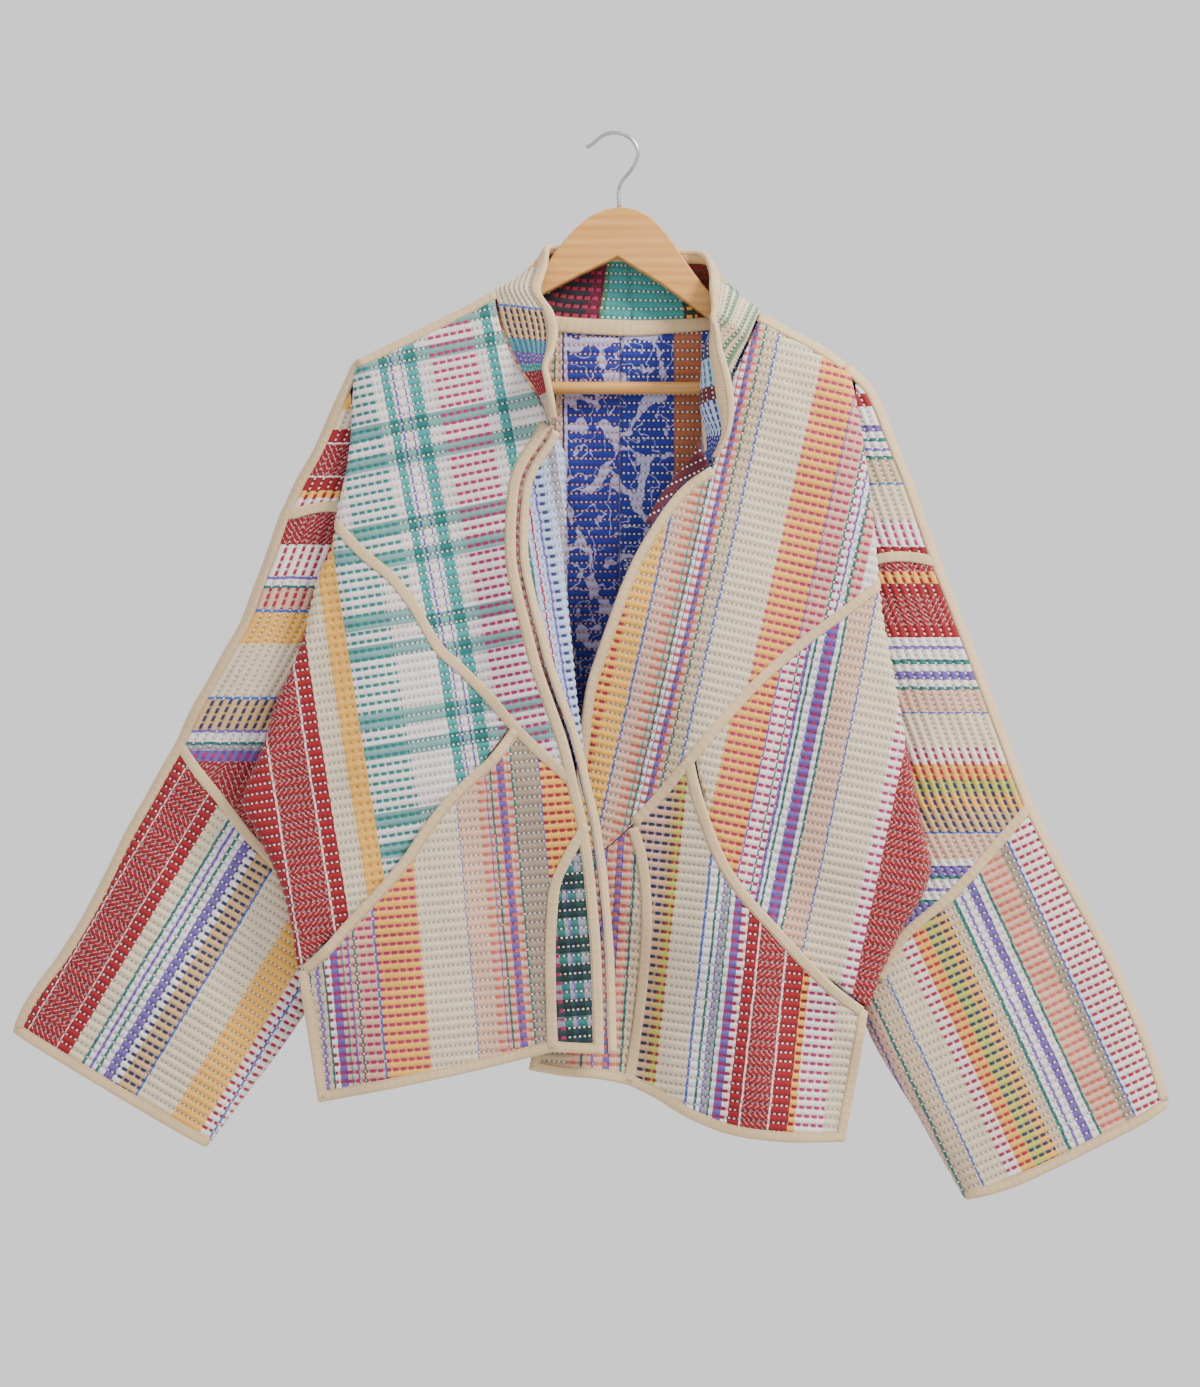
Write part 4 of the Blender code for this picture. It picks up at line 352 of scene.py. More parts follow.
# Stripes of each piece: where they are measured, and each stripe's start, cloth and thread (white where
# none is named). The starts are x at that height, z where the stripes cross a sleeve, or mm along the cuff.
# Both halves of a lower sleeve have the same stripes.
PATCHWORK = {
    "front_upper_right": (-344.9, (
        (-243.8, "white"), (-224.9, "pale_pink", "teal"), (-208.5, "pale_pink", "dark_teal"),
        (-182.8, "white"), (-175.0, "teal"), (-167.3, "white"), (-165.6, "violet"), (-163.4, "white"),
        (-156.9, "violet"), (-155.2, "white"), (-152.7, "teal"), (-141.5, "pale_pink"),
        (-130.3, "pale_pink", "magenta"), (-89.0, "pale_pink"), (-78.7, "teal"), (-70.1, "white"))),
    "front_side_right": (-467.0, (
        (-321.2, "red"), (-307.8, "white"), (-306.4, "scarlet"), (-274.8, "white"), (-273.4, "red"),
        (-260.1, "cream"), (-242.1, "yellow", "orange"), (-224.9, "pale_pink", "dark_teal"),
        (-185.3, "pale_pink"), (-162.1, "white"), (-150.1, "teal"), (-141.5, "white"), (-139.8, "violet"),
        (-138.0, "white"), (-132.0, "violet"), (-130.3, "white"), (-127.7, "teal"), (-116.5, "pale_pink"),
        (-105.3, "pale_pink", "magenta"))),
    "front_pocket_right": (-749.1, (
        (-286.8, "beige"), (-260.6, "dark_teal"), (-257.6, "beige"), (-253.3, "violet"),
        (-250.7, "beige"), (-246.8, "dark_teal"), (-244.7, "white", "crimson"),
        (-239.5, "purple", "magenta"), (-233.5, "pink_beige", "magenta"), (-230.0, "teal", "magenta"),
        (-228.3, "pink_beige", "magenta"), (-224.9, "violet"), (-223.2, "pink_beige", "magenta"),
        (-219.3, "dark_teal"), (-217.2, "pink_beige", "magenta"), (-200.8, "blue"),
        (-199.1, "yellow", "magenta"), (-161.2, "cream"), (-120.8, "blue"), (-119.1, "pink_beige"),
        (-102.8, "pink_beige", "coral"), (-94.2, "violet"), (-92.5, "pink_beige", "coral"),
        (-90.3, "dark_teal"), (-88.2, "pink_beige", "coral"), (-83.0, "purple", "coral"),
        (-77.0, "pink_beige", "coral"), (-71.4, "dark_teal"), (-69.2, "grey_beige"), (-47.7, "blue"),
        (-46.0, "yellow", "crimson"))),
    "front_centre_right": (-706.1, (
        (-58.9, "lilac_grey", "magenta"), (-46.9, "dark_teal"), (-40.0, "lilac_grey"), (-36.5, "violet"),
        (-34.8, "dark_teal"), (-27.9, "lilac_grey"), (-21.9, "dark_teal"), (-15.9, "violet"),
        (-14.2, "dark_teal"))),
    "facing_right": (-405.1, (
        (-93.3, "pale_blue", "navy"), (-83.0, "pale_blue"), (-78.7, "pale_blue", "navy"),
        (-74.4, "lilac_grey"), (-67.1, "dark_teal"), (-64.9, "pale_blue"), (-60.6, "crimson"),
        (-58.9, "pale_blue"), (-53.8, "violet"), (-52.0, "pale_blue", "navy"), (-44.3, "pale_blue"),
        (-37.4, "lilac_grey"), (-30.5, "pale_blue"))),
    "front_upper_left": (-465.3, (
        (-46.0, "yellow", "crimson"), (-0.4, "yellow"), (17.2, "blue"), (18.9, "pink_beige"),
        (29.7, "pink_beige", "coral"), (38.3, "teal", "coral"), (40.0, "pink_beige", "coral"),
        (43.4, "dark_teal"), (45.1, "white", "coral"), (47.7, "violet", "coral"),
        (49.4, "white", "coral"), (52.9, "purple", "coral"), (58.0, "pink_beige", "coral"),
        (61.9, "dark_teal"), (64.1, "beige"), (75.2, "blue"), (77.0, "cream"),
        (117.4, "orange", "magenta"), (147.5, "yellow", "magenta"), (151.8, "violet"),
        (153.5, "pink_beige", "magenta"), (170.3, "dark_teal"), (172.4, "white", "magenta"),
        (177.6, "violet"), (180.2, "white"), (184.0, "dark_teal"), (186.2, "pink_beige", "magenta"),
        (196.5, "white"))),
    "front_side_left": (-534.1, (
        (57.2, "cream"), (93.3, "orange", "magenta"), (119.1, "orange", "crimson"), (127.7, "violet"),
        (129.4, "white", "magenta"), (141.0, "dark_teal"), (143.2, "white", "magenta"), (147.5, "purple"),
        (150.1, "white"), (153.1, "dark_teal"), (155.2, "white"), (160.4, "violet"),
        (162.1, "purple", "magenta"), (170.7, "white"), (174.6, "dark_teal"), (176.7, "pink_beige"),
        (197.4, "blue"), (199.1, "cream"), (236.1, "white", "magenta"), (249.0, "scarlet"))),
    "front_pocket_left": (-749.1, (
        (18.5, "pink_beige", "navy"), (29.7, "tan", "navy"), (36.5, "lime", "crimson"), (43.4, "cream"),
        (69.2, "blue"), (71.0, "white"), (77.4, "dark_teal"), (79.5, "white"), (83.0, "violet"),
        (84.7, "lilac_grey"), (88.6, "dark_teal"), (90.7, "white"), (94.2, "purple", "magenta"),
        (101.0, "white", "crimson"), (107.1, "red"), (117.1, "white"), (118.5, "scarlet"),
        (141.7, "white"), (143.1, "red"), (159.5, "orange", "red"), (165.6, "white", "magenta"),
        (190.5, "cream"), (210.3, "blue"), (212.0, "cream"))),
    "front_centre_left": (-706.1, (
        (-63.2, "beige"), (-33.1, "pink_beige", "coral"), (-22.4, "dark_teal"),
        (-20.2, "pink_beige", "coral"), (-13.3, "violet"), (-10.8, "pink_beige", "coral"),
        (-3.0, "purple", "coral"), (3.0, "pink_beige", "coral"), (12.0, "dark_teal"), (14.2, "beige"))),
    "facing_left": (-319.1, (
        (-11.6, "maroon"),)),
    "sleeve_upper_right": ("across", (
        (-332.8, "white", "crimson"), (-316.5, "orange", "red"), (-310.5, "red"), (-298.7, "white"),
        (-297.4, "scarlet"), (-269.9, "white"), (-268.6, "red"), (-257.1, "cream"), (-239.9, "yellow"),
        (-220.2, "tan"))),
    "sleeve_middle_right": ("across", (
        (-688.9, "scarlet"), (-544.4, "purple", "magenta"), (-535.8, "lilac_grey"), (-531.0, "dark_teal"),
        (-528.0, "white"), (-520.3, "violet"), (-517.7, "tan", "navy"), (-491.1, "blue"),
        (-489.3, "cream"), (-443.8, "yellow"), (-415.4, "blue"), (-413.7, "pink_beige", "crimson"),
        (-395.2, "dark_teal"), (-393.0, "white"), (-387.9, "violet"), (-385.3, "white", "crimson"),
        (-357.8, "scarlet"))),
    "sleeve_lower_right": ("cuff", (
        (0.0, "red"), (11.7, "white"), (13.1, "scarlet"), (40.5, "white"), (41.9, "red"), (53.3, "cream"),
        (66.7, "dark_teal"), (69.7, "white"), (74.0, "violet"), (76.5, "white"), (80.4, "dark_teal"),
        (83.4, "white"), (88.6, "purple"), (96.3, "white", "navy"), (103.2, "tan", "navy"),
        (120.4, "blue"), (122.1, "cream"), (156.5, "yellow"), (184.9, "white", "crimson"),
        (194.4, "blue"), (196.1, "white", "crimson"), (209.0, "pink_beige"), (224.9, "dark_teal"),
        (227.9, "white"))),
    "sleeve_upper_left": ("across", (
        (-383.6, "red"), (-358.6, "white", "magenta"), (-336.3, "cream"), (-305.3, "blue"),
        (-303.6, "beige"), (-283.4, "dark_teal"), (-280.4, "white"), (-276.1, "violet"),
        (-273.5, "white"), (-267.9, "dark_teal"), (-264.9, "white"), (-258.9, "purple"),
        (-253.7, "white"), (-237.4, "red"), (-226.2, "white", "magenta"))),
    "sleeve_middle_left": ("across", (
        (-753.4, "purple"), (-667.8, "dark_teal"), (-664.8, "white"), (-657.0, "violet"),
        (-654.5, "white"), (-646.3, "dark_teal"), (-644.1, "purple"), (-635.5, "white"),
        (-628.7, "pink_beige"), (-607.2, "blue"), (-605.4, "tan", "navy"), (-587.4, "yellow", "navy"),
        (-572.8, "lime", "navy"), (-559.9, "yellow", "crimson"), (-547.0, "white", "crimson"),
        (-532.3, "cream"), (-504.0, "blue"), (-502.2, "pink_beige"), (-482.9, "dark_teal"),
        (-479.9, "white"), (-473.9, "purple"), (-467.0, "white"), (-460.5, "dark_teal"),
        (-457.5, "white"), (-448.1, "violet"), (-445.5, "white"), (-437.7, "red"), (-427.3, "scarlet"),
        (-401.8, "red"), (-390.4, "orange", "red"), (-381.0, "scarlet"))),
    "sleeve_lower_left": ("cuff", (
        (-51.6, "beige"), (-21.5, "pink_beige"), (-10.3, "violet"), (-8.6, "pink_beige"),
        (-0.4, "dark_teal"), (2.6, "beige"), (18.9, "blue"), (20.6, "cream"), (43.0, "white", "crimson"),
        (55.0, "yellow", "crimson"), (67.1, "lime", "navy"), (79.1, "yellow", "navy"), (89.4, "beige"),
        (99.3, "dark_teal"), (102.3, "white"), (106.6, "violet"), (109.2, "white"), (115.2, "purple"),
        (123.0, "white"), (128.6, "dark_teal"), (131.6, "pink_beige", "coral"), (154.8, "grey_beige"),
        (163.4, "blue"), (165.1, "white", "crimson"))),
    "back_right": (-491.1, (
        (-256.7, "cream"), (-224.9, "yellow", "magenta"), (-190.5, "blue"), (-188.8, "pink_beige"),
        (-172.0, "dark_teal"), (-169.0, "white"), (-163.0, "violet"), (-160.4, "white"),
        (-154.4, "purple", "magenta"), (-146.6, "pink_beige", "coral"), (-123.8, "dark_teal"),
        (-120.8, "cream"), (-80.4, "red"), (-71.9, "white"), (-70.5, "scarlet"), (-51.0, "white"),
        (-49.6, "red"), (-41.7, "white", "magenta"), (-20.2, "cream"))),
    "back_left": (-491.1, (
        (1.3, "cream"), (31.4, "tan", "navy"), (53.8, "lime", "crimson"), (64.1, "cream"), (96.8, "blue"),
        (98.5, "pink_beige", "coral"), (122.1, "dark_teal"), (125.1, "white"),
        (131.2, "purple", "magenta"), (139.8, "white"), (146.2, "dark_teal"), (149.2, "beige"),
        (173.3, "yellow", "magenta"), (201.7, "blue"), (203.4, "cream"))),
    "sleeve_back_upper_right": ("across", (
        (-723.3, "scarlet"), (-611.5, "cream"), (-559.9, "purple", "magenta"), (-549.5, "white"),
        (-543.1, "dark_teal"), (-540.1, "tan", "navy"), (-508.3, "blue"), (-506.5, "cream"),
        (-448.1, "yellow"), (-413.7, "pink_beige", "crimson"), (-387.9, "white"), (-370.7, "red"),
        (-353.6, "white"), (-352.3, "scarlet"), (-311.8, "white"), (-310.5, "red"), (-293.3, "cream"),
        (-250.3, "yellow"))),
    "sleeve_back_upper_left": ("across", (
        (-766.3, "purple"), (-667.8, "dark_teal"), (-664.8, "white"), (-628.7, "pink_beige"),
        (-607.2, "blue"), (-605.4, "tan", "navy"), (-568.5, "yellow", "navy"),
        (-547.0, "white", "crimson"), (-532.3, "cream"), (-491.1, "pink_beige"), (-456.7, "white"),
        (-437.7, "red"), (-423.0, "white"), (-421.6, "scarlet"), (-386.8, "white"), (-385.4, "red"),
        (-370.7, "white", "magenta"), (-344.9, "cream"), (-293.7, "dark_teal"), (-290.7, "white"))),
}

# Where a cuff's stripes start from: the cuff's corner and the way along it
CUFF_LINES = {
    "right": ((-522.5, -778.3), (0.859, -0.511)),
    "left": ((304.9, -925.4), (0.906, 0.423)),
}

# The collar's stripes, in mm along it from its front corner: outer face, then the face against the neck
COLLAR_PATCHWORK = {
    "collar_right": (
        ((0, "beige", "blue"), (25, "red"), (45, "teal"), (52, "purple"),
         (62, "teal", "violet"), (75, "tan", "navy"), (105, "blue"), (107, "cream"),
         (150, "yellow"), (190, "beige"), (225, "teal"), (228, "beige")),
        ((0, "beige"), (150, "ink", "crimson"), (178, "ink"), (190, "ink", "crimson"),
         (222, "maroon", "magenta"), (232, "green"), (236, "teal"))),
    "collar_left": (
        ((0, "white", "teal"), (14, "pale_teal", "violet"), (30, "white", "teal"),
         (46, "pale_teal", "magenta"),
         (60, "white", "teal"), (86, "teal"), (90, "beige"), (130, "cream"),
         (165, "teal"), (168, "beige")),
        ((0, "royal"), (20, "pale_blue", "navy"), (50, "maroon"), (62, "pale_blue", "teal"),
         (85, "navy"), (100, "teal", "magenta"), (135, "teal"), (165, "deep_teal"),
         (200, "brown", "red"), (222, "deep_green", "yellow"), (232, "teal"))),
}

# The reverse of the back: a printed cloth crossed by one plain band, x in mm
BACK_REVERSE = {
    "back_right": ((-260.0, "pink_beige", "coral"), (-52.0, "green"), (-50.0, "pink_beige"),
                   (-45.0, "navy"), (-43.5, "lilac", "peach"), (-40.5, "royal", "peach")),
    "back_left": ((0.0, "royal"), (52.9, "rust"), (77.0, "royal")),
}
PLAIN_REVERSE = ((0.0, "royal"), (60.0, "deep_teal"), (95.0, "navy"))

# The hanger's hook, as places (x, z) along its wire
WIRE_LINE = (
    (5.1, -63.0), (5.1, -45.6), (6.5, -41.8), (15.7, -30.1), (21.1, -18.1), (20.9, -12.0),
    (15.7, -3.9), (7.7, 0.8), (0.0, 1.8), (-7.3, 0.3), (-13.3, -3.4), (-18.1, -8.0), (-23.6, -10.8))

MM = 0.001
EDGE = 0.5 * GAP + 0.75 * WALL  # a layer's outer face at a shoulder or sleeve seam, where it leans
ROLL_SENSE = {"right": -1, "left": 1, "facing_right": 1}  # which way x runs past a fold


def unit(v):
    """Directions of length one."""
    return v / np.maximum(np.linalg.norm(v, axis=-1, keepdims=True), 1e-9)


def run_of(points):
    """How far along a line each of its points is."""
    return np.concatenate([[0], np.cumsum(np.linalg.norm(np.diff(points, axis=0), axis=1))])


def curve(t, start, end, leaving, arriving):
    """Places at shares t of a smooth curve, from where it starts and ends and its way at each end."""
    return ((2 * t**3 - 3 * t**2 + 1) * start + (t**3 - 2 * t**2 + t) * leaving
            + (3 * t**2 - 2 * t**3) * end + (t**3 - t**2) * arriving)


def spline(points, step=SEAM_STEP):
    """A smooth line through the points, with a place about every step."""
    points = np.array(points, float)
    if len(points) == 2:
        points = np.array([points[0], points.mean(0), points[1]])
    chord = np.linalg.norm(np.diff(points, axis=0), axis=1)
    slope = np.diff(points, axis=0) / chord[:, None]
    inner = (slope[:-1] * chord[1:, None] + slope[1:] * chord[:-1, None]) / (chord[:-1] + chord[1:])[:, None]
    tangent = np.vstack([slope[:1], inner, slope[-1:]])
    line = []
    for k, length in enumerate(chord):
        t = np.linspace(0, 1, max(2, int(math.ceil(length / step)) + 1))[:-1, None]
        line.append(curve(t, points[k], points[k + 1], length * tangent[k], length * tangent[k + 1]))
    return np.vstack(line + [points[-1:]])


def evenly(line, step):
    """The same line with its places the same distance apart."""
    run = run_of(line)
    count = max(2, int(round(run[-1] / step)) + 1)
    at = np.linspace(0, run[-1], count)
    return np.column_stack([np.interp(at, run, line[:, k]) for k in range(line.shape[1])])


def join(*names):
    """Several seams end to end as one line."""
    parts = [LINES[n[1:]][::-1] if n[0] == "-" else LINES[n] for n in names]
    return np.vstack([parts[0]] + [p[1:] for p in parts[1:]])


def smooth(t):
    """From 0 to 1 with soft ends."""
    t = np.clip(t, 0, 1)
    return t * t * (3 - 2 * t)


def distance(line, x, z):
    """From each place (x, z) to the nearest part of a line."""
    start, step = line[:-1], np.diff(line, axis=0)
    square = (step**2).sum(1)
    best = np.full(x.shape, 1e9)
    for (sx, sz), (dx, dz), sq in zip(start, step, square):
        t = np.clip(((x - sx) * dx + (z - sz) * dz) / sq, 0, 1)
        best = np.minimum(best, np.hypot(x - sx - t * dx, z - sz - t * dz))
    return best


LINES = {name: spline(points) for name, points in SEAMS.items()}
SLEEVE_SEAMS = tuple(side + end for side in ("right", "left")
                     for end in ("_overarm_high", "_overarm_middle", "_overarm_low", "_underarm"))
RIDGES = {
    "right": ("right_shoulder", "right_overarm_high"),
    "left": ("left_shoulder", "left_overarm_high"),
    "sleeve": SLEEVE_SEAMS,
    "back": SLEEVE_SEAMS + ("right_shoulder", "left_shoulder"),
}


def beside_crest(foot, head, x, z):
    """How far up a crest each place is, 0 at its foot and 1 at its head, and how far beside it in mm."""
    dx, dz = head[0] - foot[0], head[1] - foot[1]
    length = math.hypot(dx, dz)
    along = ((x - foot[0]) * dx + (z - foot[1]) * dz) / length**2
    across = ((x - foot[0]) * dz - (z - foot[1]) * dx) / length
    return along, across


def small_creases(kind, x, z):
    """The smaller creases, which fade towards their ends and aren't quite straight."""
    rise = np.zeros(x.shape)
    for side, foot, head, half, height in CREASES:
        if side != kind:
            continue
        along, across = beside_crest(foot, head, x, z)
        across = across + 0.25 * half * np.sin(4.2 * along + 0.05 * foot[0])
        fade = smooth((along + 0.3) / 0.5) * smooth((1.2 - along) / 0.6)
        wide = half * (1 + 0.5 * np.clip(along, 0, 1))
        furrow = 0.35 * np.exp(-((across - 1.6 * half) / wide) ** 2)
        rise += height * fade * (np.exp(-(across / wide) ** 2) - furrow)
    return rise


def folds(kind, x, z):
    """How far the soft folds stand towards the viewer, or away from the wall at the back."""
    rise = np.zeros(x.shape)
    for side, foot, head, half, height in FOLDS:
        if side != kind:
            continue
        along, across = beside_crest(foot, head, x, z)
        fade = smooth((along + 0.25) / 0.45) * smooth((1.15 - along) / 0.5)
        rise += height * fade * np.exp(-(across / half) ** 2)
    return rise + small_creases(kind, x, z)


def depth(kind, x, z):
    """y of a layer's outer face at each place, before any fold rolls it back."""
    side = kind.replace("facing_", "")
    reach = np.min([distance(LINES[n], x, z) for n in RIDGES[side]], axis=0)
    lift = RIDGE_LIFT * (1 - np.exp(-reach / RIDGE_REACH))
    if side == "sleeve":
        return -(EDGE + lift + folds("sleeve", x, z) * (1 - np.exp(-reach / 25)))
    if side == "back":
        trunk = 6 * smooth((x + 235) / 70) * smooth((215 - x) / 70) * smooth((-190 - z) / 150)
        return EDGE + lift + trunk + folds("back", x, z) * (1 - np.exp(-reach / 40))
    if side == "right":
        base = FRONT_DEPTH + 10 * smooth((x + 130) / 110)
        base = base - 8 * smooth((-700 - z) / 90) * smooth((-190 - x) / 70)
    else:
        base = FRONT_DEPTH - 15 * smooth((-400 - z) / 150) * smooth((90 - x) / 90)
        base = base - 8 * smooth((-740 - z) / 90) * smooth((x - 150) / 60)
    y = -(EDGE + lift + (base - EDGE - RIDGE_LIFT) * (1 - np.exp(-reach / 70)))
    y = y - folds(side, x, z) * (1 - np.exp(-reach / 40))
    if kind == "facing_right":
        y = y + 0.3 * distance(join(*RIGHT_EDGE), x, z)
    if kind == "facing_left":
        y = y + 0.3 * distance(LINES["left_facing_edge"], x, z)
    return y


def make_roll(kind, line, largest, rest, foot_ramp, head_ramp, beside=None):
    """Where a layer folds back: z, x and radius along the fold, from the bottom up."""
    line = line[::-1]
    z, x = line[:, 1], line[:, 0]
    room = (-depth(kind, x - ROLL_SENSE[kind] * largest, z) - rest) / 2
    radius = np.clip(np.minimum(largest, room), 0, None)
    if beside is not None:
        width = np.abs(x - np.interp(z, beside[::-1, 1], beside[::-1, 0]))
        radius = np.clip(np.minimum(radius, 0.5 * (width - DRAWN_IN["edge"])), 0, None)
    if foot_ramp:
        radius = radius * np.clip((z - z[0]) / foot_ramp, 0, 1)
    if head_ramp:
        radius = radius * np.clip((z[-1] - z) / head_ramp, 0, 1)
    return z, x, radius


ROLLS = {
    "right": make_roll("right", join("right_fold_high", "right_fold_low"), FOLD_RADIUS, FOLD_REST, 60, 0),
    "left": make_roll("left", join("left_fold_high", "left_fold_low"), FOLD_RADIUS, FOLD_REST, 60, 0),
    "facing_right": make_roll(
        "facing_right", LINES["right_facing_fold"], FACING_RADIUS, FOLD_REST, 0, 20,
        join(*RIGHT_EDGE)),
}
LEAST_ROLL = 3.0


def roll_at(kind, z):
    """x of a fold and the radius of its roll at each height."""
    zs, xs, radii = ROLLS[kind]
    return np.interp(z, zs, xs), np.interp(z, zs, radii)


def carried_round(kind, z):
    """How much further than its fold a layer's flat cloth reaches, along x."""
    radius = roll_at(kind, z)[1]
    return ((math.pi - 1) * radius + FOLD_TAIL) * smooth((radius - LEAST_ROLL) / 3.0)


def run_between(line):
    """How far each place on a line is from the nearer of its ends, along it."""
    run = run_of(line)
    return np.minimum(run, run[-1] - run)


def pocket_lift(kind, x, z):
    """A pocket's mouth stands off the cloth behind it."""
    line = LINES[kind + "_pocket"]
    ends = np.minimum(np.hypot(x - line[0, 0], z - line[0, 1]), np.hypot(x - line[-1, 0], z - line[-1, 1]))
    sewn = np.minimum(distance(LINES[kind + "_slant_low"], x, z), distance(LINES[kind + "_upright"], x, z))
    return POCKET_LIFT * np.exp(-distance(line, x, z) / 45) * smooth((ends - 4) / 26) * smooth(sewn / 30)


def place(kind, flat, lifted=False):
    """The outer face, in mm, at flat places (x, z) of one layer."""
    x, z = flat[:, 0], flat[:, 1]
    if kind not in ROLLS:
        return np.column_stack([x, depth(kind, x, z), z])
    sense = ROLL_SENSE[kind]
    fold, radius = roll_at(kind, z)
    rolls = radius >= LEAST_ROLL
    start = np.where(rolls, fold - sense * radius, x)
    past = sense * (x - start)
    past = np.where(rolls, np.maximum(past, 0), 0)
    radius = np.maximum(radius, LEAST_ROLL)
    angle = np.minimum(past / radius, math.pi)
    beyond = np.maximum(past - math.pi * radius, 0)
    flat_x = np.where(past > 0, start, x)
    y = depth(kind, flat_x, z) + radius * (1 - np.cos(angle))
    if lifted:
        y = y - pocket_lift(kind, x, z)
    return np.column_stack([flat_x + sense * (radius * np.sin(angle) - beyond), y, z])


def outward(kind, flat, lifted=False):
    """Unit normals of the outer face."""
    h = 0.1
    dx = place(kind, flat + [h, 0], lifted) - place(kind, flat - [h, 0], lifted)
    dz = place(kind, flat + [0, h], lifted) - place(kind, flat - [0, h], lifted)
    normal = np.cross(dx, dz)
    if kind == "back":
        normal = -normal
    return unit(normal)


def drawn_in(name):
    """How far in from this seam the cloth is cut."""
    if name == "left_facing_edge":
        return DRAWN_IN["facing_edge"]
    if name.startswith("left_edge"):
        return DRAWN_IN["left_edge"]
    for word in ("shoulder", "overarm", "underarm", "neck", "edge", "hem", "vent", "cuff", "pocket"):
        if word in name:
            return DRAWN_IN[word]
    return DRAWN_IN["seam"]


def closer_on_rolls(kind, places, inset):
    """More places on an outline where it crosses a roll."""
    fuller, amounts = [], []
    for k in range(len(places)):
        start, end = places[k - 1], places[k]
        fold, radius = roll_at(kind, 0.5 * (start[1] + end[1]))
        beyond = max(ROLL_SENSE[kind] * (start[0] - fold), ROLL_SENSE[kind] * (end[0] - fold))
        count = 1
        if radius >= LEAST_ROLL and beyond > -radius:
            count = max(1, int(math.ceil(abs(end[0] - start[0]) / ROLL_STEP)))
        for share in np.arange(1, count + 1) / count:
            fuller.append(start + (end - start) * share)
            amounts.append(inset[k])
    return np.array(fuller), np.array(amounts)


def outline(kind, parts):
    """Closed outline of a piece in flat places, drawn in from its seams."""
    rough = np.vstack([LINES[p.lstrip("-+=")][:: -1 if "-" in p else 1] for p in parts])
    area = 0.5 * (rough[:, 0] * np.roll(rough[:, 1], -1) - np.roll(rough[:, 0], -1) * rough[:, 1]).sum()
    turn = 1 if area > 0 else -1
    places, inset = [], []
    for part in parts:
        name = part.lstrip("-+=")
        line = LINES[name][:: -1 if "-" in part else 1].copy()
        amount = drawn_in(name)
        if "+" in part:
            line[:, 0] += ROLL_SENSE[kind] * carried_round(kind, line[:, 1])
            amount = DRAWN_IN["seam"]
        if "=" in part:
            run = np.gradient(line, axis=0)
            out = turn * np.column_stack([run[:, 1], -run[:, 0]])
            out /= np.linalg.norm(out, axis=1)[:, None]
            ends = run_between(line)
            line += out * (POCKET_LAP * smooth((ends - 34) / 30))[:, None]
            amount = DRAWN_IN["seam"]
        places.append(line)
        inset.append(np.full(len(line), amount))
    places, inset = np.vstack(places), np.concatenate(inset)
    keep = np.linalg.norm(places - np.roll(places, 1, axis=0), axis=1) > 0.05
    places, inset = places[keep], inset[keep]
    if kind in ROLLS:
        places, inset = closer_on_rolls(kind, places, inset)
    before, after = places - np.roll(places, 1, axis=0), np.roll(places, -1, axis=0) - places
    into = []
    for run in (before, after):
        normal = turn * np.column_stack([-run[:, 1], run[:, 0]])
        into.append(normal / np.linalg.norm(normal, axis=1)[:, None])
    d1, d2 = inset, np.roll(inset, -1)
    cross = into[0][:, 0] * into[1][:, 1] - into[0][:, 1] * into[1][:, 0]
    mean = into[0] + into[1]
    mean /= np.maximum(np.linalg.norm(mean, axis=1), 1e-6)[:, None]
    shift = mean * np.maximum(d1, d2)[:, None]
    sharp = np.abs(cross) > 0.25
    corner = np.column_stack([
        (d1 * into[1][:, 1] - d2 * into[0][:, 1]), (into[0][:, 0] * d2 - into[1][:, 0] * d1)])
    shift[sharp] = corner[sharp] / cross[sharp][:, None]
    length = np.linalg.norm(shift, axis=1)
    shift *= np.minimum(1, 7 / np.maximum(length, 1e-6))[:, None]
    drawn = places + shift
    clear = np.full(len(drawn), 1e9)
    for end, start, amount in zip(places, np.roll(places, 1, axis=0), inset):
        line = np.array([start, end])
        clear = np.minimum(clear, distance(line, drawn[:, 0], drawn[:, 1]) / amount)
    return drawn[clear > 0.9]


def within(outline, x, z):
    """Which places lie inside a closed outline."""
    inside = np.zeros(x.shape, bool)
    for (x1, z1), (x2, z2) in zip(outline, np.roll(outline, -1, axis=0)):
        if z1 == z2:
            continue
        crosses = (z1 > z) != (z2 > z)
        inside ^= crosses & (x < x1 + (z - z1) * (x2 - x1) / (z2 - z1))
    return inside


def trimmed(line, start, end):
    """A flat line shortened at its ends, or lengthened by amounts below nought."""
    run = run_of(line)
    first = line[0] - unit(line[1] - line[0]) * max(0, -start)
    last = line[-1] + unit(line[-1] - line[-2]) * max(0, -end)
    keep = (run > max(start, 0)) & (run < run[-1] - max(end, 0))
    at = [max(start, 0), run[-1] - max(end, 0)]
    ends = np.column_stack([np.interp(at, run, line[:, k]) for k in (0, 1)])
    head = [first] if start < 0 else [ends[0]]
    tail = [last] if end < 0 else [ends[1]]
    return np.vstack([head, line[keep], tail])


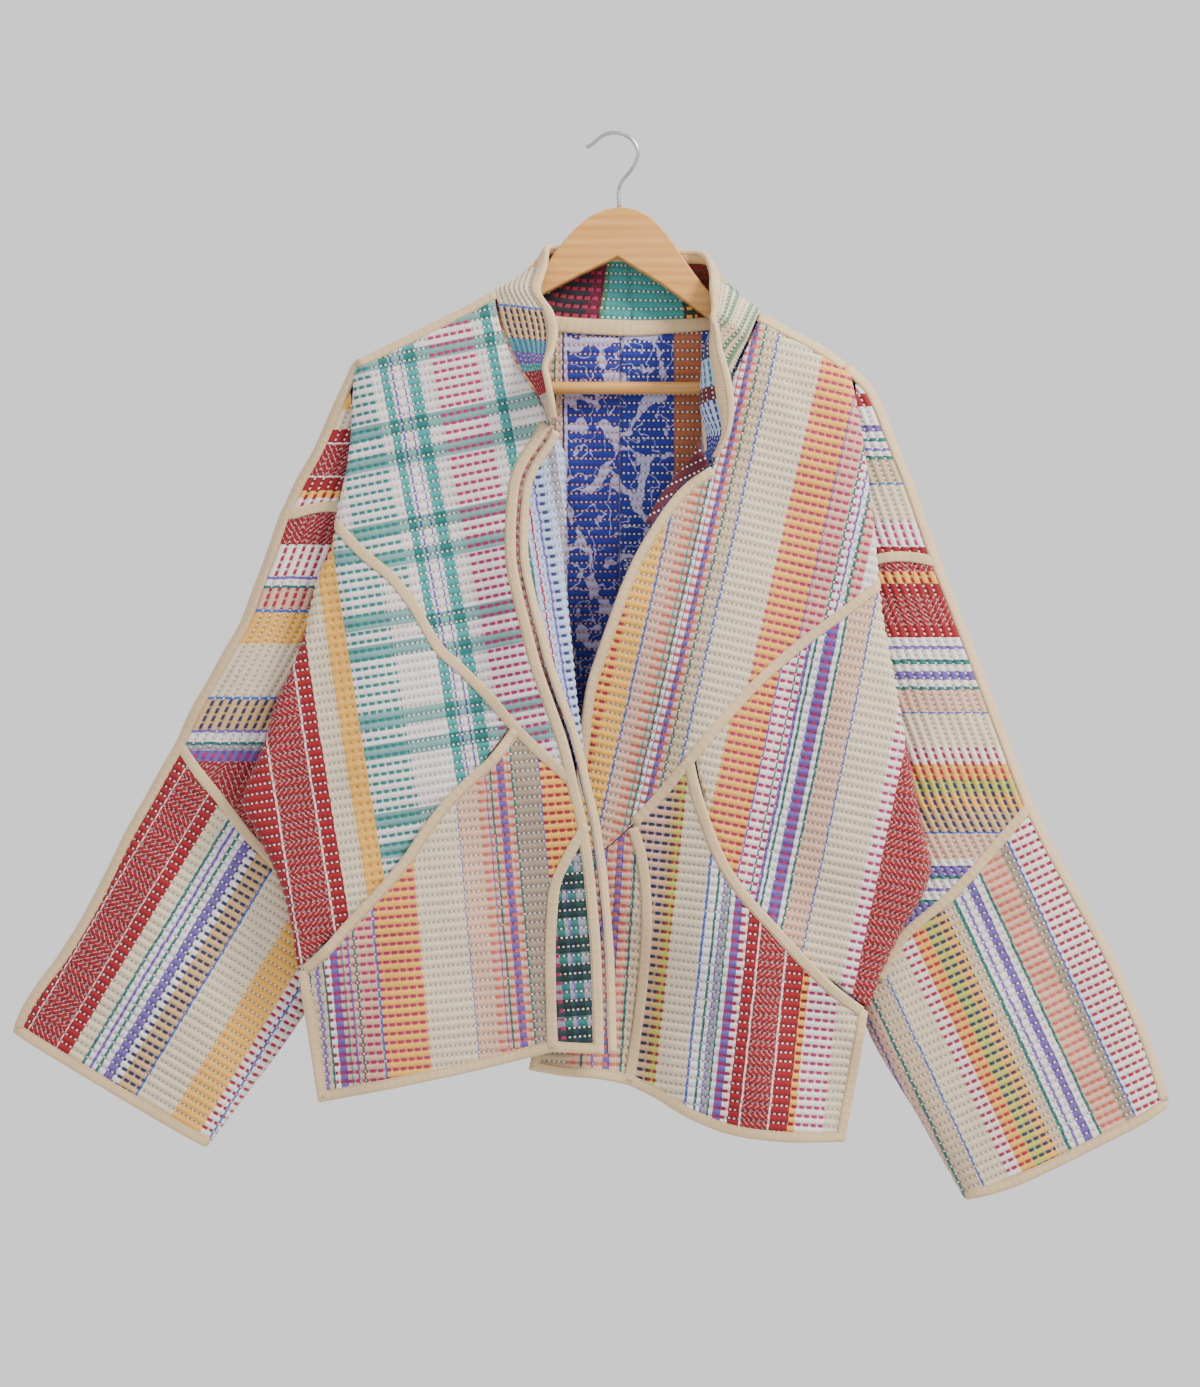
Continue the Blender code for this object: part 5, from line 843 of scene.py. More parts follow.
def edge_stations(seams, side, start, end):
    """Flat places along a cut edge and the way in from it, longer at corners.

    side is 1 with the cloth to the left of the line.
    """
    lines = [LINES[n.lstrip("-")][:: -1 if n[0] == "-" else 1] for n in seams]
    amounts = [drawn_in(n.lstrip("-")) for n in seams]
    lines[0] = trimmed(lines[0], start, 0)
    lines[-1] = trimmed(lines[-1], 0, end)
    edge, inward, last = [], [], None
    for line, amount in zip(lines, amounts):
        line = evenly(line, TAPE_STEP)
        run = unit(np.gradient(line, axis=0))
        normal = side * np.column_stack([-run[:, 1], run[:, 0]])
        if last is None:
            edge, inward = list(line + normal * amount), list(normal)
        else:
            together = 1 + float(last @ normal[0])
            mitre = (last + normal[0]) / together
            edge[-1], inward[-1] = line[0] + mitre * amount, mitre
            edge += list(line[1:] + normal[1:] * amount)
            inward += list(normal[1:])
        last = normal[-1]
    return np.array(edge), np.array(inward)


def collar_surface():
    """The collar's outer face as seam, middle and top rows set to the cloth's depth at its seam."""
    table = np.array(COLLAR, float)
    for k in range(len(table)):
        x, y, z = table[k, 0]
        kind = "back" if y > 0 else ("right" if x < 0 else "left")
        shift = float(depth(kind, np.array([x]), np.array([z]))[0]) - y
        table[k, 0, 1] += shift
        table[k, 1, 1] += 0.5 * shift
    return table


def across_collar(table, share):
    """Places a share of the way up the collar, on a smooth line through its three rows."""
    t = np.asarray(share)[None, :, None]
    low, mid, top = (table[:, k][:, None] for k in range(3))
    return low * (1 - t) * (1 - 2 * t) + mid * 4 * t * (1 - t) + top * t * (2 * t - 1)


def to_rows(rows, flat, back=False):
    """Flat places to (along a row, across the rows), or back."""
    if isinstance(rows, str):
        line = join(*(rows + end for end in ("_high", "_middle", "_low")))[::-1]
        if back:
            return np.column_stack([flat[:, 1] + np.interp(flat[:, 0], line[:, 1], line[:, 0]), flat[:, 0]])
        return np.column_stack([flat[:, 1], flat[:, 0] - np.interp(flat[:, 1], line[:, 1], line[:, 0])])
    turn = math.radians(rows if not back else -rows)
    c, s = math.cos(turn), math.sin(turn)
    a, b = flat[:, 0], flat[:, 1]
    return np.column_stack([a * c + b * s, -a * s + b * c])


def rib(count):
    """Height of a rib at these row numbers, from 0 in a row of stitches to 1 on its crest."""
    phase = np.abs(np.sin(math.pi * count))
    return phase ** 0.6


def row_range(rows, edge):
    """Where a piece's lowest row is, how far apart its rows are and how many there are."""
    across = to_rows(rows, edge)[:, 1]
    low, high = across.min(), across.max()
    count = max(2, int(round((high - low) / ROW_PITCH)))
    return low, (high - low) / count, count


def fine_fill(kind, rows, parts):
    """Flat places, triangles, outline length and row numbers of one piece, with points along its ribs."""
    edge = outline(kind, parts)
    following = np.roll(edge, -1, axis=0)
    if (edge[:, 0] * following[:, 1] - following[:, 0] * edge[:, 1]).sum() < 0:
        edge = edge[::-1]
    a = to_rows(rows, edge)[:, 0]
    low, pitch, count = row_range(rows, edge)
    levels = low + pitch * (np.arange(count)[:, None] + np.array(RIB_LEVELS)[None]).ravel()
    columns = np.arange(a.min() + 0.5 * COLUMN_STEP, a.max(), COLUMN_STEP)
    along, across = np.meshgrid(columns, levels)
    grid = to_rows(rows, np.column_stack([along.ravel(), across.ravel()]), back=True)
    clear = within(edge, grid[:, 0], grid[:, 1])
    grid = grid[clear]
    away = distance(np.vstack([edge, edge[:1]]), grid[:, 0], grid[:, 1])
    flat = np.vstack([edge, grid[away > 1.0]])
    away = np.concatenate([np.zeros(len(edge)), away[away > 1.0]])
    ab = to_rows(rows, flat)
    even = ab * [1.0, 2.4]
    found = delaunay_2d_cdt([Vector(p) for p in even], [], [list(range(len(edge)))], 1, 1e-4)
    if len(found[0]) != len(flat):
        raise ValueError("an outline crosses itself: %s" % (parts,))
    return flat, np.array(found[2]), len(edge), ab[:, 0], (ab[:, 1] - low) / pitch, away


def point_normals(points, triangles):
    """Unit normals of a mesh at its points."""
    a, b, c = (points[triangles[:, k]] for k in range(3))
    face = np.cross(b - a, c - a)
    total = np.zeros(points.shape)
    for k in range(3):
        np.add.at(total, triangles[:, k], face)
    return unit(total)


def add_mesh(name, points, faces, finishes, values, slots=None):
    """A closed mesh of triangles from points in mm, turned outwards, with its materials and cloth values."""
    points, faces = np.asarray(points, float) * MM, np.asarray(faces)
    a, b, c = (points[faces[:, k]] for k in range(3))
    if (a * np.cross(b, c)).sum() < 0:
        faces = faces[:, ::-1]
    count = len(faces)
    mesh = bpy.data.meshes.new(name)
    mesh.vertices.add(len(points))
    mesh.vertices.foreach_set("co", points.ravel())
    mesh.loops.add(count * 3)
    mesh.loops.foreach_set("vertex_index", faces.ravel().astype(np.int32))
    mesh.polygons.add(count)
    mesh.polygons.foreach_set("loop_start", np.arange(0, count * 3, 3, dtype=np.int32))
    mesh.polygons.foreach_set("use_smooth", np.ones(count, bool))
    if slots is not None:
        mesh.polygons.foreach_set("material_index", np.asarray(slots, np.int32))
    for finish in finishes:
        mesh.materials.append(finish)
    mesh.update(calc_edges=True)
    layer = mesh.uv_layers.new(name="rows")
    layer.data.foreach_set("uv", np.asarray(values, float)[faces.ravel()].ravel())
    obj = bpy.data.objects.new(name, mesh)
    bpy.context.scene.collection.objects.link(obj)
    return obj


def add_shell(name, base, normals, face, rim, uv, ribs, finishes):
    """Both faces of a piece of quilted cloth and the rim between them."""
    outer = base + normals * (RIB_HEIGHT * ribs - RIB_SUNK)[:, None]
    inner = base - normals * (WALL - 0.25 + REVERSE_RIB * ribs)[:, None]
    count = len(base)
    after = np.roll(rim, -1)
    near_side = np.column_stack([after, rim, rim + count])
    far_side = np.column_stack([after, rim + count, after + count])
    faces = np.vstack([face, face[:, ::-1] + count, near_side, far_side])
    slots = np.concatenate([np.zeros(len(face)), np.ones(len(faces) - len(face))])
    return add_mesh(name, np.vstack([outer, inner]), faces, finishes, np.vstack([uv, uv]), slots)


def laid_out(ring, base, face):
    """The smallest rectangle that holds a piece's cut, laid flat, and the cut's area, in metres."""
    best = None
    for turn in np.radians(np.arange(0, 90, 3)):
        c, s = math.cos(turn), math.sin(turn)
        sides = np.ptp(ring[:, 0] * c + ring[:, 1] * s), np.ptp(ring[:, 1] * c - ring[:, 0] * s)
        if best is None or sides[0] * sides[1] < best[0] * best[1]:
            best = sides
    after = np.roll(ring, -1, axis=0)
    seen = abs(0.5 * (ring[:, 0] * after[:, 1] - after[:, 0] * ring[:, 1]).sum())
    a, b, c = (base[face[:, k]] for k in range(3))
    area = 0.5 * np.linalg.norm(np.cross(b - a, c - a), axis=1).sum()
    fuller = math.sqrt(area / seen)
    return (float(best[0] * fuller) * MM, float(best[1] * fuller) * MM), float(area) * MM * MM


def add_cloth(name, finishes):
    """One flat-cut piece, with its flat size in metres and the area of its cut."""
    kind, rows, parts = PANELS[name]
    flat, face, edges, along, count, away = fine_fill(kind, rows, parts)
    base = place(kind, flat, "pocket" in name)
    normals = point_normals(base, face)
    if normals[0] @ outward(kind, flat[:1], "pocket" in name)[0] < 0:
        normals = -normals
    long_wave = np.sin(0.043 * along + 2.1 * np.floor(count))
    uneven = 0.86 + 0.14 * long_wave * np.sin(0.017 * along + 1.3 * count)
    uneven *= PRESSED + (1 - PRESSED) * smooth(away / PRESSED_REACH)
    obj = add_shell(name + "_quilted", base, normals, face, np.arange(edges),
                    np.column_stack([along, count]), rib(count) * uneven, finishes)
    return (obj, *laid_out(flat[:edges], base, face))


def ring_band(name, rings, finish, run):
    """A closed band from rings[station, place] round its section; run is how far along each station is."""
    stations, around = rings.shape[:2]
    at = np.arange(stations * around).reshape(stations, around)
    p, q = at[:-1], np.roll(at[:-1], -1, axis=1)
    r, s = np.roll(at[1:], -1, axis=1), at[1:]
    quads = np.stack([p, q, r, s], axis=-1).reshape(-1, 4)
    triangles = np.vstack([quads[:, [0, 1, 2]], quads[:, [0, 2, 3]]])
    caps = []
    for end, flip in ((at[0], 1), (at[-1], -1)):
        for k in range(1, around // 2):
            quad = [end[k - 1], end[k], end[around - 1 - k], end[around - k]]
            caps += [quad[:3][::-flip], [quad[0], quad[2], quad[3]][::-flip]]
    faces = np.vstack([triangles, np.array(caps)])
    share = np.minimum(np.arange(around), around - 1 - np.arange(around)) / (around / 2 - 1)
    uv = np.stack(np.broadcast_arrays(run[:, None], share[None, :]), axis=-1).reshape(-1, 2)
    return add_mesh(name, rings.reshape(-1, 3), faces, [finish], uv)


def unevenly(run, size, phase):
    """A hand-sewn tape isn't quite the same all along."""
    return size * (np.sin(0.11 * run + phase) + 0.6 * np.sin(0.047 * run + 2.3 * phase))


TAPE_SECTION = ((-1.0, 0.3), (-0.95, 0.95), (-0.62, 1.2), (0.0, 1.3), (0.62, 1.2), (0.95, 0.95), (1.0, 0.3))


def add_flat_tape(name, kind, seams, start, end, raised=0.0):
    """A flat tape over a seam, with soft edges."""
    line = evenly(trimmed(join(*seams), start, end), TAPE_STEP)
    run = run_of(line)
    travel = unit(np.gradient(line, axis=0))
    beside = np.column_stack([-travel[:, 1], travel[:, 0]])
    upper, lower = [], []
    for share, height in TAPE_SECTION:
        flat = line + beside * (share * 0.5 * TAPE_WIDTH + unevenly(run, 0.12, len(name) + share))[:, None]
        point, normal = place(kind, flat), outward(kind, flat)
        upper.append(point + normal * (height + raised + unevenly(run, 0.06, 3 * share))[:, None])
        lower.append(point + normal * (0.1 + 0.6 * raised))
    rings = np.stack(upper + lower[::-1], axis=1)
    return ring_band(name, rings, TAPE_FINISH, run)


EDGE_SECTION = ((8.0, 0.35, 0), (7.7, 1.0, 0), (5.5, 1.3, 0), (3.0, 1.4, 0), (1.0, 1.4, 0),
                (-0.4, 1.1, 1), (-1.2, 0.2, 1))


def add_edge_binding(name, kind, seams, side, start, end, lifted=False):
    """A tape folded round cut edges, rounded over the edge itself."""
    edge, inward = edge_stations(seams, side, start, end)
    run = run_of(edge)
    outer, inner, low_outer, low_inner = [], [], [], []
    for far, height, nose in EDGE_SECTION:
        reach = np.full(len(run), far) + unevenly(run, 0.12, far + len(name))
        flat = edge + inward * np.maximum(reach, 0.0)[:, None]
        point, normal = place(kind, flat, lifted), outward(kind, flat, lifted)
        if nose:
            step = place(kind, edge + inward * 1.0, lifted) - place(kind, edge, lifted)
            point = point + unit(step) * far
        lift = height + unevenly(run, 0.07, 2 * far)
        outer.append(point + normal * lift[:, None])
        inner.append(point - normal * (WALL + lift)[:, None])
        if not nose:
            low_outer.append(point + normal * 0.1)
            low_inner.append(point - normal * (WALL + 0.1))
    middle = (outer[-1] + inner[-1]) / 2
    ring = outer + [middle + (outer[-1] - outer[-2]) * 0.3] + inner[::-1]
    ring += [low_inner[0], low_inner[2], low_inner[4], low_outer[4], low_outer[2], low_outer[0]]
    ring.append((low_outer[0] + outer[0]) / 2)
    return ring_band(name, np.stack(ring, axis=1), TAPE_FINISH, run)


def add_seam_binding(name, front_kind, seams, side, start, end):
    """A tape folded over a seam where a front layer meets a back layer."""
    edge, inward = edge_stations(seams, side, start, end)
    run = run_of(edge)
    front, back = [], []
    for kind, rows in ((front_kind, front), ("back", back)):
        for far, height in ((8.0, 0.35), (7.7, 1.0), (5.5, 1.35), (3.0, 1.45), (1.0, 1.5)):
            reach = far + unevenly(run, 0.12, far + len(name))
            flat = edge + inward * reach[:, None]
            lift = (height + unevenly(run, 0.07, 2 * far))[:, None]
            rows.append(place(kind, flat) + outward(kind, flat) * lift)
    up = -unit(np.column_stack([inward[:, 0], np.zeros(len(inward)), inward[:, 1]]))
    top = (front[-1] + back[-1]) / 2 + up * 1.9
    low = []
    for kind in (front_kind, "back"):
        for far in (1.0, 4.0, 8.0)[:: 1 if kind == "back" else -1]:
            flat = edge + inward * far
            low.append(place(kind, flat) + outward(kind, flat) * 0.1)
    ring = front + [top] + back[::-1] + low[3:][::-1] + low[:3][::-1]
    ring.append((ring[-1] + ring[0]) / 2)
    return ring_band(name, np.stack(ring, axis=1), TAPE_FINISH, run)


def add_facing_tape(name):
    """A flat tape over the seam between the right front's edge and its facing."""
    edge, inward = edge_stations(RIGHT_EDGE, 1, 2.0, 1.0)
    run = run_of(edge)
    over, under = [], []
    for far, height in ((7.5, 0.75), (7.1, 1.45), (5.0, 1.75), (2.5, 1.75), (0.4, 1.3)):
        flat = edge + inward * far
        point, normal = place("facing_right", flat), outward("facing_right", flat)
        over.append(point + normal * (height + unevenly(run, 0.07, far))[:, None])
        under.append(point + normal * 0.3)
    return ring_band(name, np.stack(over + under[::-1], axis=1), TAPE_FINISH, run)


def collar_places(table, share):
    """One row along the collar, a share of the way up it, with its normals."""
    shares = np.array([share, share + 0.01, share - 0.01])
    row, above, below = (across_collar(table, shares)[:, k] for k in range(3))
    return row, unit(np.cross(above - below, np.gradient(row, axis=0)))


def finer_collar(steps=7):
    """The collar's table with more stations, on smooth lines through its own."""
    table = collar_surface()
    flat = table.reshape(len(table), -1)
    before = np.vstack([2 * flat[:1] - flat[1:2], flat[:-1]])
    after = np.vstack([flat[1:], 2 * flat[-1:] - flat[-2:-1]])
    tangent = (after - before) / 2
    rows = []
    for k in range(len(flat) - 1):
        for t in np.arange(steps) / steps:
            rows.append(curve(t, flat[k], flat[k + 1], tangent[k], tangent[k + 1]))
    rows.append(flat[-1])
    return np.array(rows).reshape(-1, 3, 3), COLLAR_MIDDLE * steps


COLLAR_RIBS = 9


def add_collar_half(name, table, first, last, nudge, finishes):
    """One half of the collar, its rows of stitching along it."""
    levels = (np.arange(COLLAR_RIBS)[:, None] + np.array(RIB_LEVELS)[None]).ravel()
    shares = 0.02 + 0.95 * levels / COLLAR_RIBS
    shares = np.append(shares, 0.97)
    rows, normals = zip(*(collar_places(table, s) for s in shares))
    base, away = np.stack(rows, axis=1)[first:last + 1], np.stack(normals, axis=1)[first:last + 1]
    end = -1 if nudge < 0 else 0
    base[end, :, 0] += nudge * 0.02
    run = run_of(base[:, base.shape[1] // 2])
    if nudge > 0:
        run = run[-1] - run
    count = (shares - 0.02) / 0.95 * COLLAR_RIBS
    along = np.repeat(run, len(shares))
    across = np.tile(count, len(run))
    stations, columns = base.shape[:2]
    at = np.arange(stations * columns).reshape(stations, columns)
    p, q, r, s = at[:-1, :-1].ravel(), at[:-1, 1:].ravel(), at[1:, 1:].ravel(), at[1:, :-1].ravel()
    face = np.vstack([np.column_stack([p, q, r]), np.column_stack([p, r, s])])
    rim = np.concatenate([at[0, :-1], at[:-1, -1], at[-1, :0:-1], at[:0:-1, 0]])
    obj = add_shell(name + "_quilted", base.reshape(-1, 3), away.reshape(-1, 3), face, rim,
                    np.column_stack([along, across]), 0.7 * rib(across), finishes)
    wide = float(np.linalg.norm(np.diff(base, axis=1), axis=2).sum(1).mean())
    return obj, (float(np.ptp(run)) * MM, wide * MM), None


def add_collar_edge(table):
    """The binding along the collar's top edge."""
    outer, inner = [], []
    reach = float(np.linalg.norm(table[:, 2] - table[:, 0], axis=1).mean())
    for far, height in ((8.0, 0.5), (7.7, 1.2), (5.0, 1.5), (2.5, 1.6), (0.2, 1.5)):
        row, normal = collar_places(table, 0.97 - far / reach)
        outer.append(row + normal * height)
        inner.append(row - normal * (WALL + height))
    row, normal = collar_places(table, 0.97)
    below, _ = collar_places(table, 0.93)
    top = row - normal * WALL / 2 + unit(row - below) * 1.6
    low = []
    for far in (0.5, 4.0, 8.0):
        row, normal = collar_places(table, 0.97 - far / reach)
        low.append((row + normal * 0.3, row - normal * (WALL + 0.3)))
    ring = outer + [top] + inner[::-1] + [p[1] for p in low[::-1]] + [p[0] for p in low]
    ring.append((ring[-1] + ring[0]) / 2)
    return ring_band("collar_edge_bound", np.stack(ring, axis=1), TAPE_FINISH, run_of(top))


def add_neck_tape(name, table, first, last, low, high):
    """A flat tape inside the neck, over the collar's seam, between two shares of the collar's height."""
    upper, lower = [], []
    middle = (low + high) / 2
    for share, height in ((low, 0.7), (low + 0.015, 1.4), (middle, 1.7), (high - 0.015, 1.4), (high, 0.7)):
        row, normal = collar_places(table, share)
        upper.append((row - normal * (WALL + height))[first:last + 1])
        lower.append((row - normal * (WALL + 0.2))[first:last + 1])
    rings = np.stack(upper + lower[::-1], axis=1)
    return ring_band(name, rings, TAPE_FINISH, run_of(rings[:, 2]))


def linear(colour):
    """An sRGB hex colour as the linear values that a shader takes."""
    values = [int(colour[k:k + 2], 16) / 255 for k in (1, 3, 5)]
    return tuple(v / 12.92 if v <= 0.04045 else ((v + 0.055) / 1.055) ** 2.4 for v in values)


# Dyed cloth and thread
DYES = {
    "white": "#e2dad5", "cream": "#d8c6a6", "beige": "#c5ad8b", "pink_beige": "#d2a78c",
    "grey_beige": "#978672", "pale_pink": "#ddd3d2", "lilac_grey": "#8d8a94", "teal": "#3a9390",
    "dark_teal": "#266a66", "pale_teal": "#7fb9b6", "teal_thread": "#12736f", "deep_teal": "#17524f",
    "violet": "#6d55ab", "purple": "#644f98", "blue": "#3a5db4", "pale_blue": "#a9b9da",
    "navy": "#27305c", "royal": "#202a8a", "red": "#8c0716", "scarlet": "#8c0716", "crimson": "#a01238",
    "magenta": "#a8145a", "coral": "#cb5a4c", "orange": "#e5ab4c", "yellow": "#e6ab4a", "tan": "#c9a36e",
    "lime": "#b7b44c", "green": "#3d7d5c", "deep_green": "#1d3f2f", "maroon": "#5a1626",
    "brown": "#5b3527", "rust": "#a8603f", "ink": "#1f1c28", "lilac": "#bdb4d6", "peach": "#dda08c",
}
TAPE_DYE = "#ccb187"
TAPE_THREAD = "#a88c64"
THIN_THREAD = 0.95  # half width of a stitch's thread, mm
THICK_THREAD = 1.65
THREAD_SCALE = 4.0  # a ramp holds values up to 1
STITCH_EDGE = 14.0  # how sharply a stitch ends

# Cross bars of the checks: repeat, two middles, width (mm), dye, and where along the rows they start
BARS = {
    "front_upper_right": (85.0, -216.0, -242.5, 13.5, "pale_teal", -330.0),
    "front_side_right": (85.0, -216.0, -242.5, 13.5, "pale_teal", -295.0),
    "front_centre_right": (54.0, -640.0, -664.0, 15.0, "dark_teal", -330.0),
    "collar_left": (30.0, 6.0, 15.0, 6.0, "pale_teal", 0.0),
}


def add(tree, kind, inputs=None, **settings):
    """A shader node with its settings, and its inputs set to values or linked from sockets."""
    made = tree.nodes.new("ShaderNode" + kind)
    for key, value in settings.items():
        setattr(made, key, value)
    for key, value in (inputs or {}).items():
        if isinstance(value, bpy.types.NodeSocket):
            tree.links.new(value, made.inputs[key])
        else:
            made.inputs[key].default_value = value
    return made


def work(tree, how, a, b=0.0, c=0.0, clamp=False):
    """The result of one sum."""
    return add(tree, "Math", {0: a, 1: b, 2: c}, operation=how, use_clamp=clamp).outputs[0]


def blend(tree, share, a, b, how="MIX"):
    """Two colours mixed."""
    made = add(tree, "Mix", {0: share, 6: a, 7: b}, data_type="RGBA", blend_type=how)
    return made.outputs[2]


def steps(tree, share, stops):
    """A ramp that jumps from one colour to the next, with a second value as alpha."""
    made = add(tree, "ValToRGB", {0: share})
    ramp = made.color_ramp
    ramp.interpolation = "CONSTANT"
    while len(ramp.elements) > 1:
        ramp.elements.remove(ramp.elements[-1])
    for k, (at, colour, alpha) in enumerate(stops):
        element = ramp.elements[0] if k == 0 else ramp.elements.new(at)
        element.position = at
        element.color = (*linear(DYES[colour]), alpha)
    return made.outputs[0], made.outputs[1]


def start(name, roughness=0.9, metallic=0.0, sheen=0.0):
    """An empty material with its shader, and the object's own places in it."""
    found = bpy.data.materials.new(name)
    found.use_nodes = True
    tree = found.node_tree
    shader = tree.nodes["Principled BSDF"]
    shader.inputs["Roughness"].default_value = roughness
    shader.inputs["Metallic"].default_value = metallic
    shader.inputs["Sheen Weight"].default_value = sheen
    return found, tree, shader, add(tree, "TexCoord").outputs["Object"]


def per_metre(size):
    """A pattern's scale from the size of its marks, in mm."""
    return 1000.0 / size


def near(tree, away, reach):
    """1 where a place is on a line, and 0 from this far away on."""
    return work(tree, "SUBTRACT", 1.0, work(tree, "DIVIDE", away, reach), clamp=True)


def apart(tree, a, b):
    """How far two values are apart."""
    return work(tree, "ABSOLUTE", work(tree, "SUBTRACT", a, b))


def from_middle(tree, along, repeat):
    """How far a place is from the middle of its repeat, as a share of it."""
    return apart(tree, work(tree, "FRACT", work(tree, "DIVIDE", along, repeat)), 0.5)


def below(tree, limit, value, sharpness):
    """1 where a value is well below its limit, with an edge as sharp as this."""
    return work(tree, "MULTIPLY", work(tree, "SUBTRACT", limit, value), sharpness, clamp=True)


def toned(tree, colour, tone):
    """A colour made darker or lighter by one value."""
    shade = add(tree, "CombineColor", {0: tone, 1: tone, 2: tone}).outputs[0]
    return blend(tree, 1.0, colour, shade, "MULTIPLY")


def cloth_values(tree):
    """The distance along a piece's rows, and the number of the row or the share of a tape's width."""
    values = add(tree, "SeparateXYZ", {0: add(tree, "UVMap", uv_map="rows").outputs[0]})
    return values.outputs[0], values.outputs[1]


def print_on(tree, places, ground):
    """A plain floral print: large ragged blooms in the ground colour, with pale gaps, curls and veins."""
    wide = add(tree, "TexNoise", {"Vector": places, "Scale": per_metre(20.83), "Detail": 3.0}).outputs["Color"]
    bent = add(tree, "VectorMath", {0: wide, "Scale": 0.030}, operation="SCALE").outputs[0]
    moved = add(tree, "VectorMath", {0: places, 1: bent}, operation="ADD").outputs[0]
    cells = add(tree, "TexVoronoi", {"Vector": moved, "Scale": per_metre(50.0), "Randomness": 0.85},
                feature="DISTANCE_TO_EDGE").outputs["Distance"]
    broad = add(tree, "TexNoise", {"Vector": places, "Scale": per_metre(16.67), "Detail": 1.0}).outputs[0]
    gap = below(tree, work(tree, "MULTIPLY_ADD", broad, 0.40, -0.145), cells, 40.0)
    line = add(tree, "TexNoise", {"Vector": moved, "Scale": per_metre(17.24), "Detail": 0.0}).outputs[0]
    curl = below(tree, 0.02, apart(tree, line, 0.47), 130.0)
    pale = (*linear(DYES["lilac"]), 1)
    colour = blend(tree, work(tree, "MULTIPLY", curl, 0.8), ground, pale)
    return blend(tree, work(tree, "MULTIPLY", gap, 0.92), colour, pale)


def hatching(tree, along, row, waver, pitch):
    """Short slanting stitches that turn back every few rows."""
    slope = work(tree, "MULTIPLY", work(tree, "PINGPONG", row, 3.5), pitch * 1.1)
    slanted = work(tree, "ADD", work(tree, "MULTIPLY_ADD", waver, 0.8, along), slope)
    strokes = below(tree, 0.10, from_middle(tree, slanted, 5.2), STITCH_EDGE)
    broken = work(tree, "LESS_THAN", work(tree, "FRACT", work(tree, "MULTIPLY", row, 2.0)), 0.72)
    return work(tree, "MULTIPLY", strokes, broken)


def cross_bars(tree, along, level, bars):
    """Where two bars of a check cross the stripes, at each repeat."""
    repeat, first, second, broad, _, begins = bars
    lines = []
    for middle in (first, second):
        phase = work(tree, "FLOORED_MODULO", work(tree, "SUBTRACT", level, middle - repeat / 2), repeat)
        lines.append(below(tree, broad / 2, apart(tree, phase, repeat / 2), 1.5))
    begun = work(tree, "GREATER_THAN", along, begins)
    return work(tree, "MULTIPLY", work(tree, "MAXIMUM", *lines), begun)


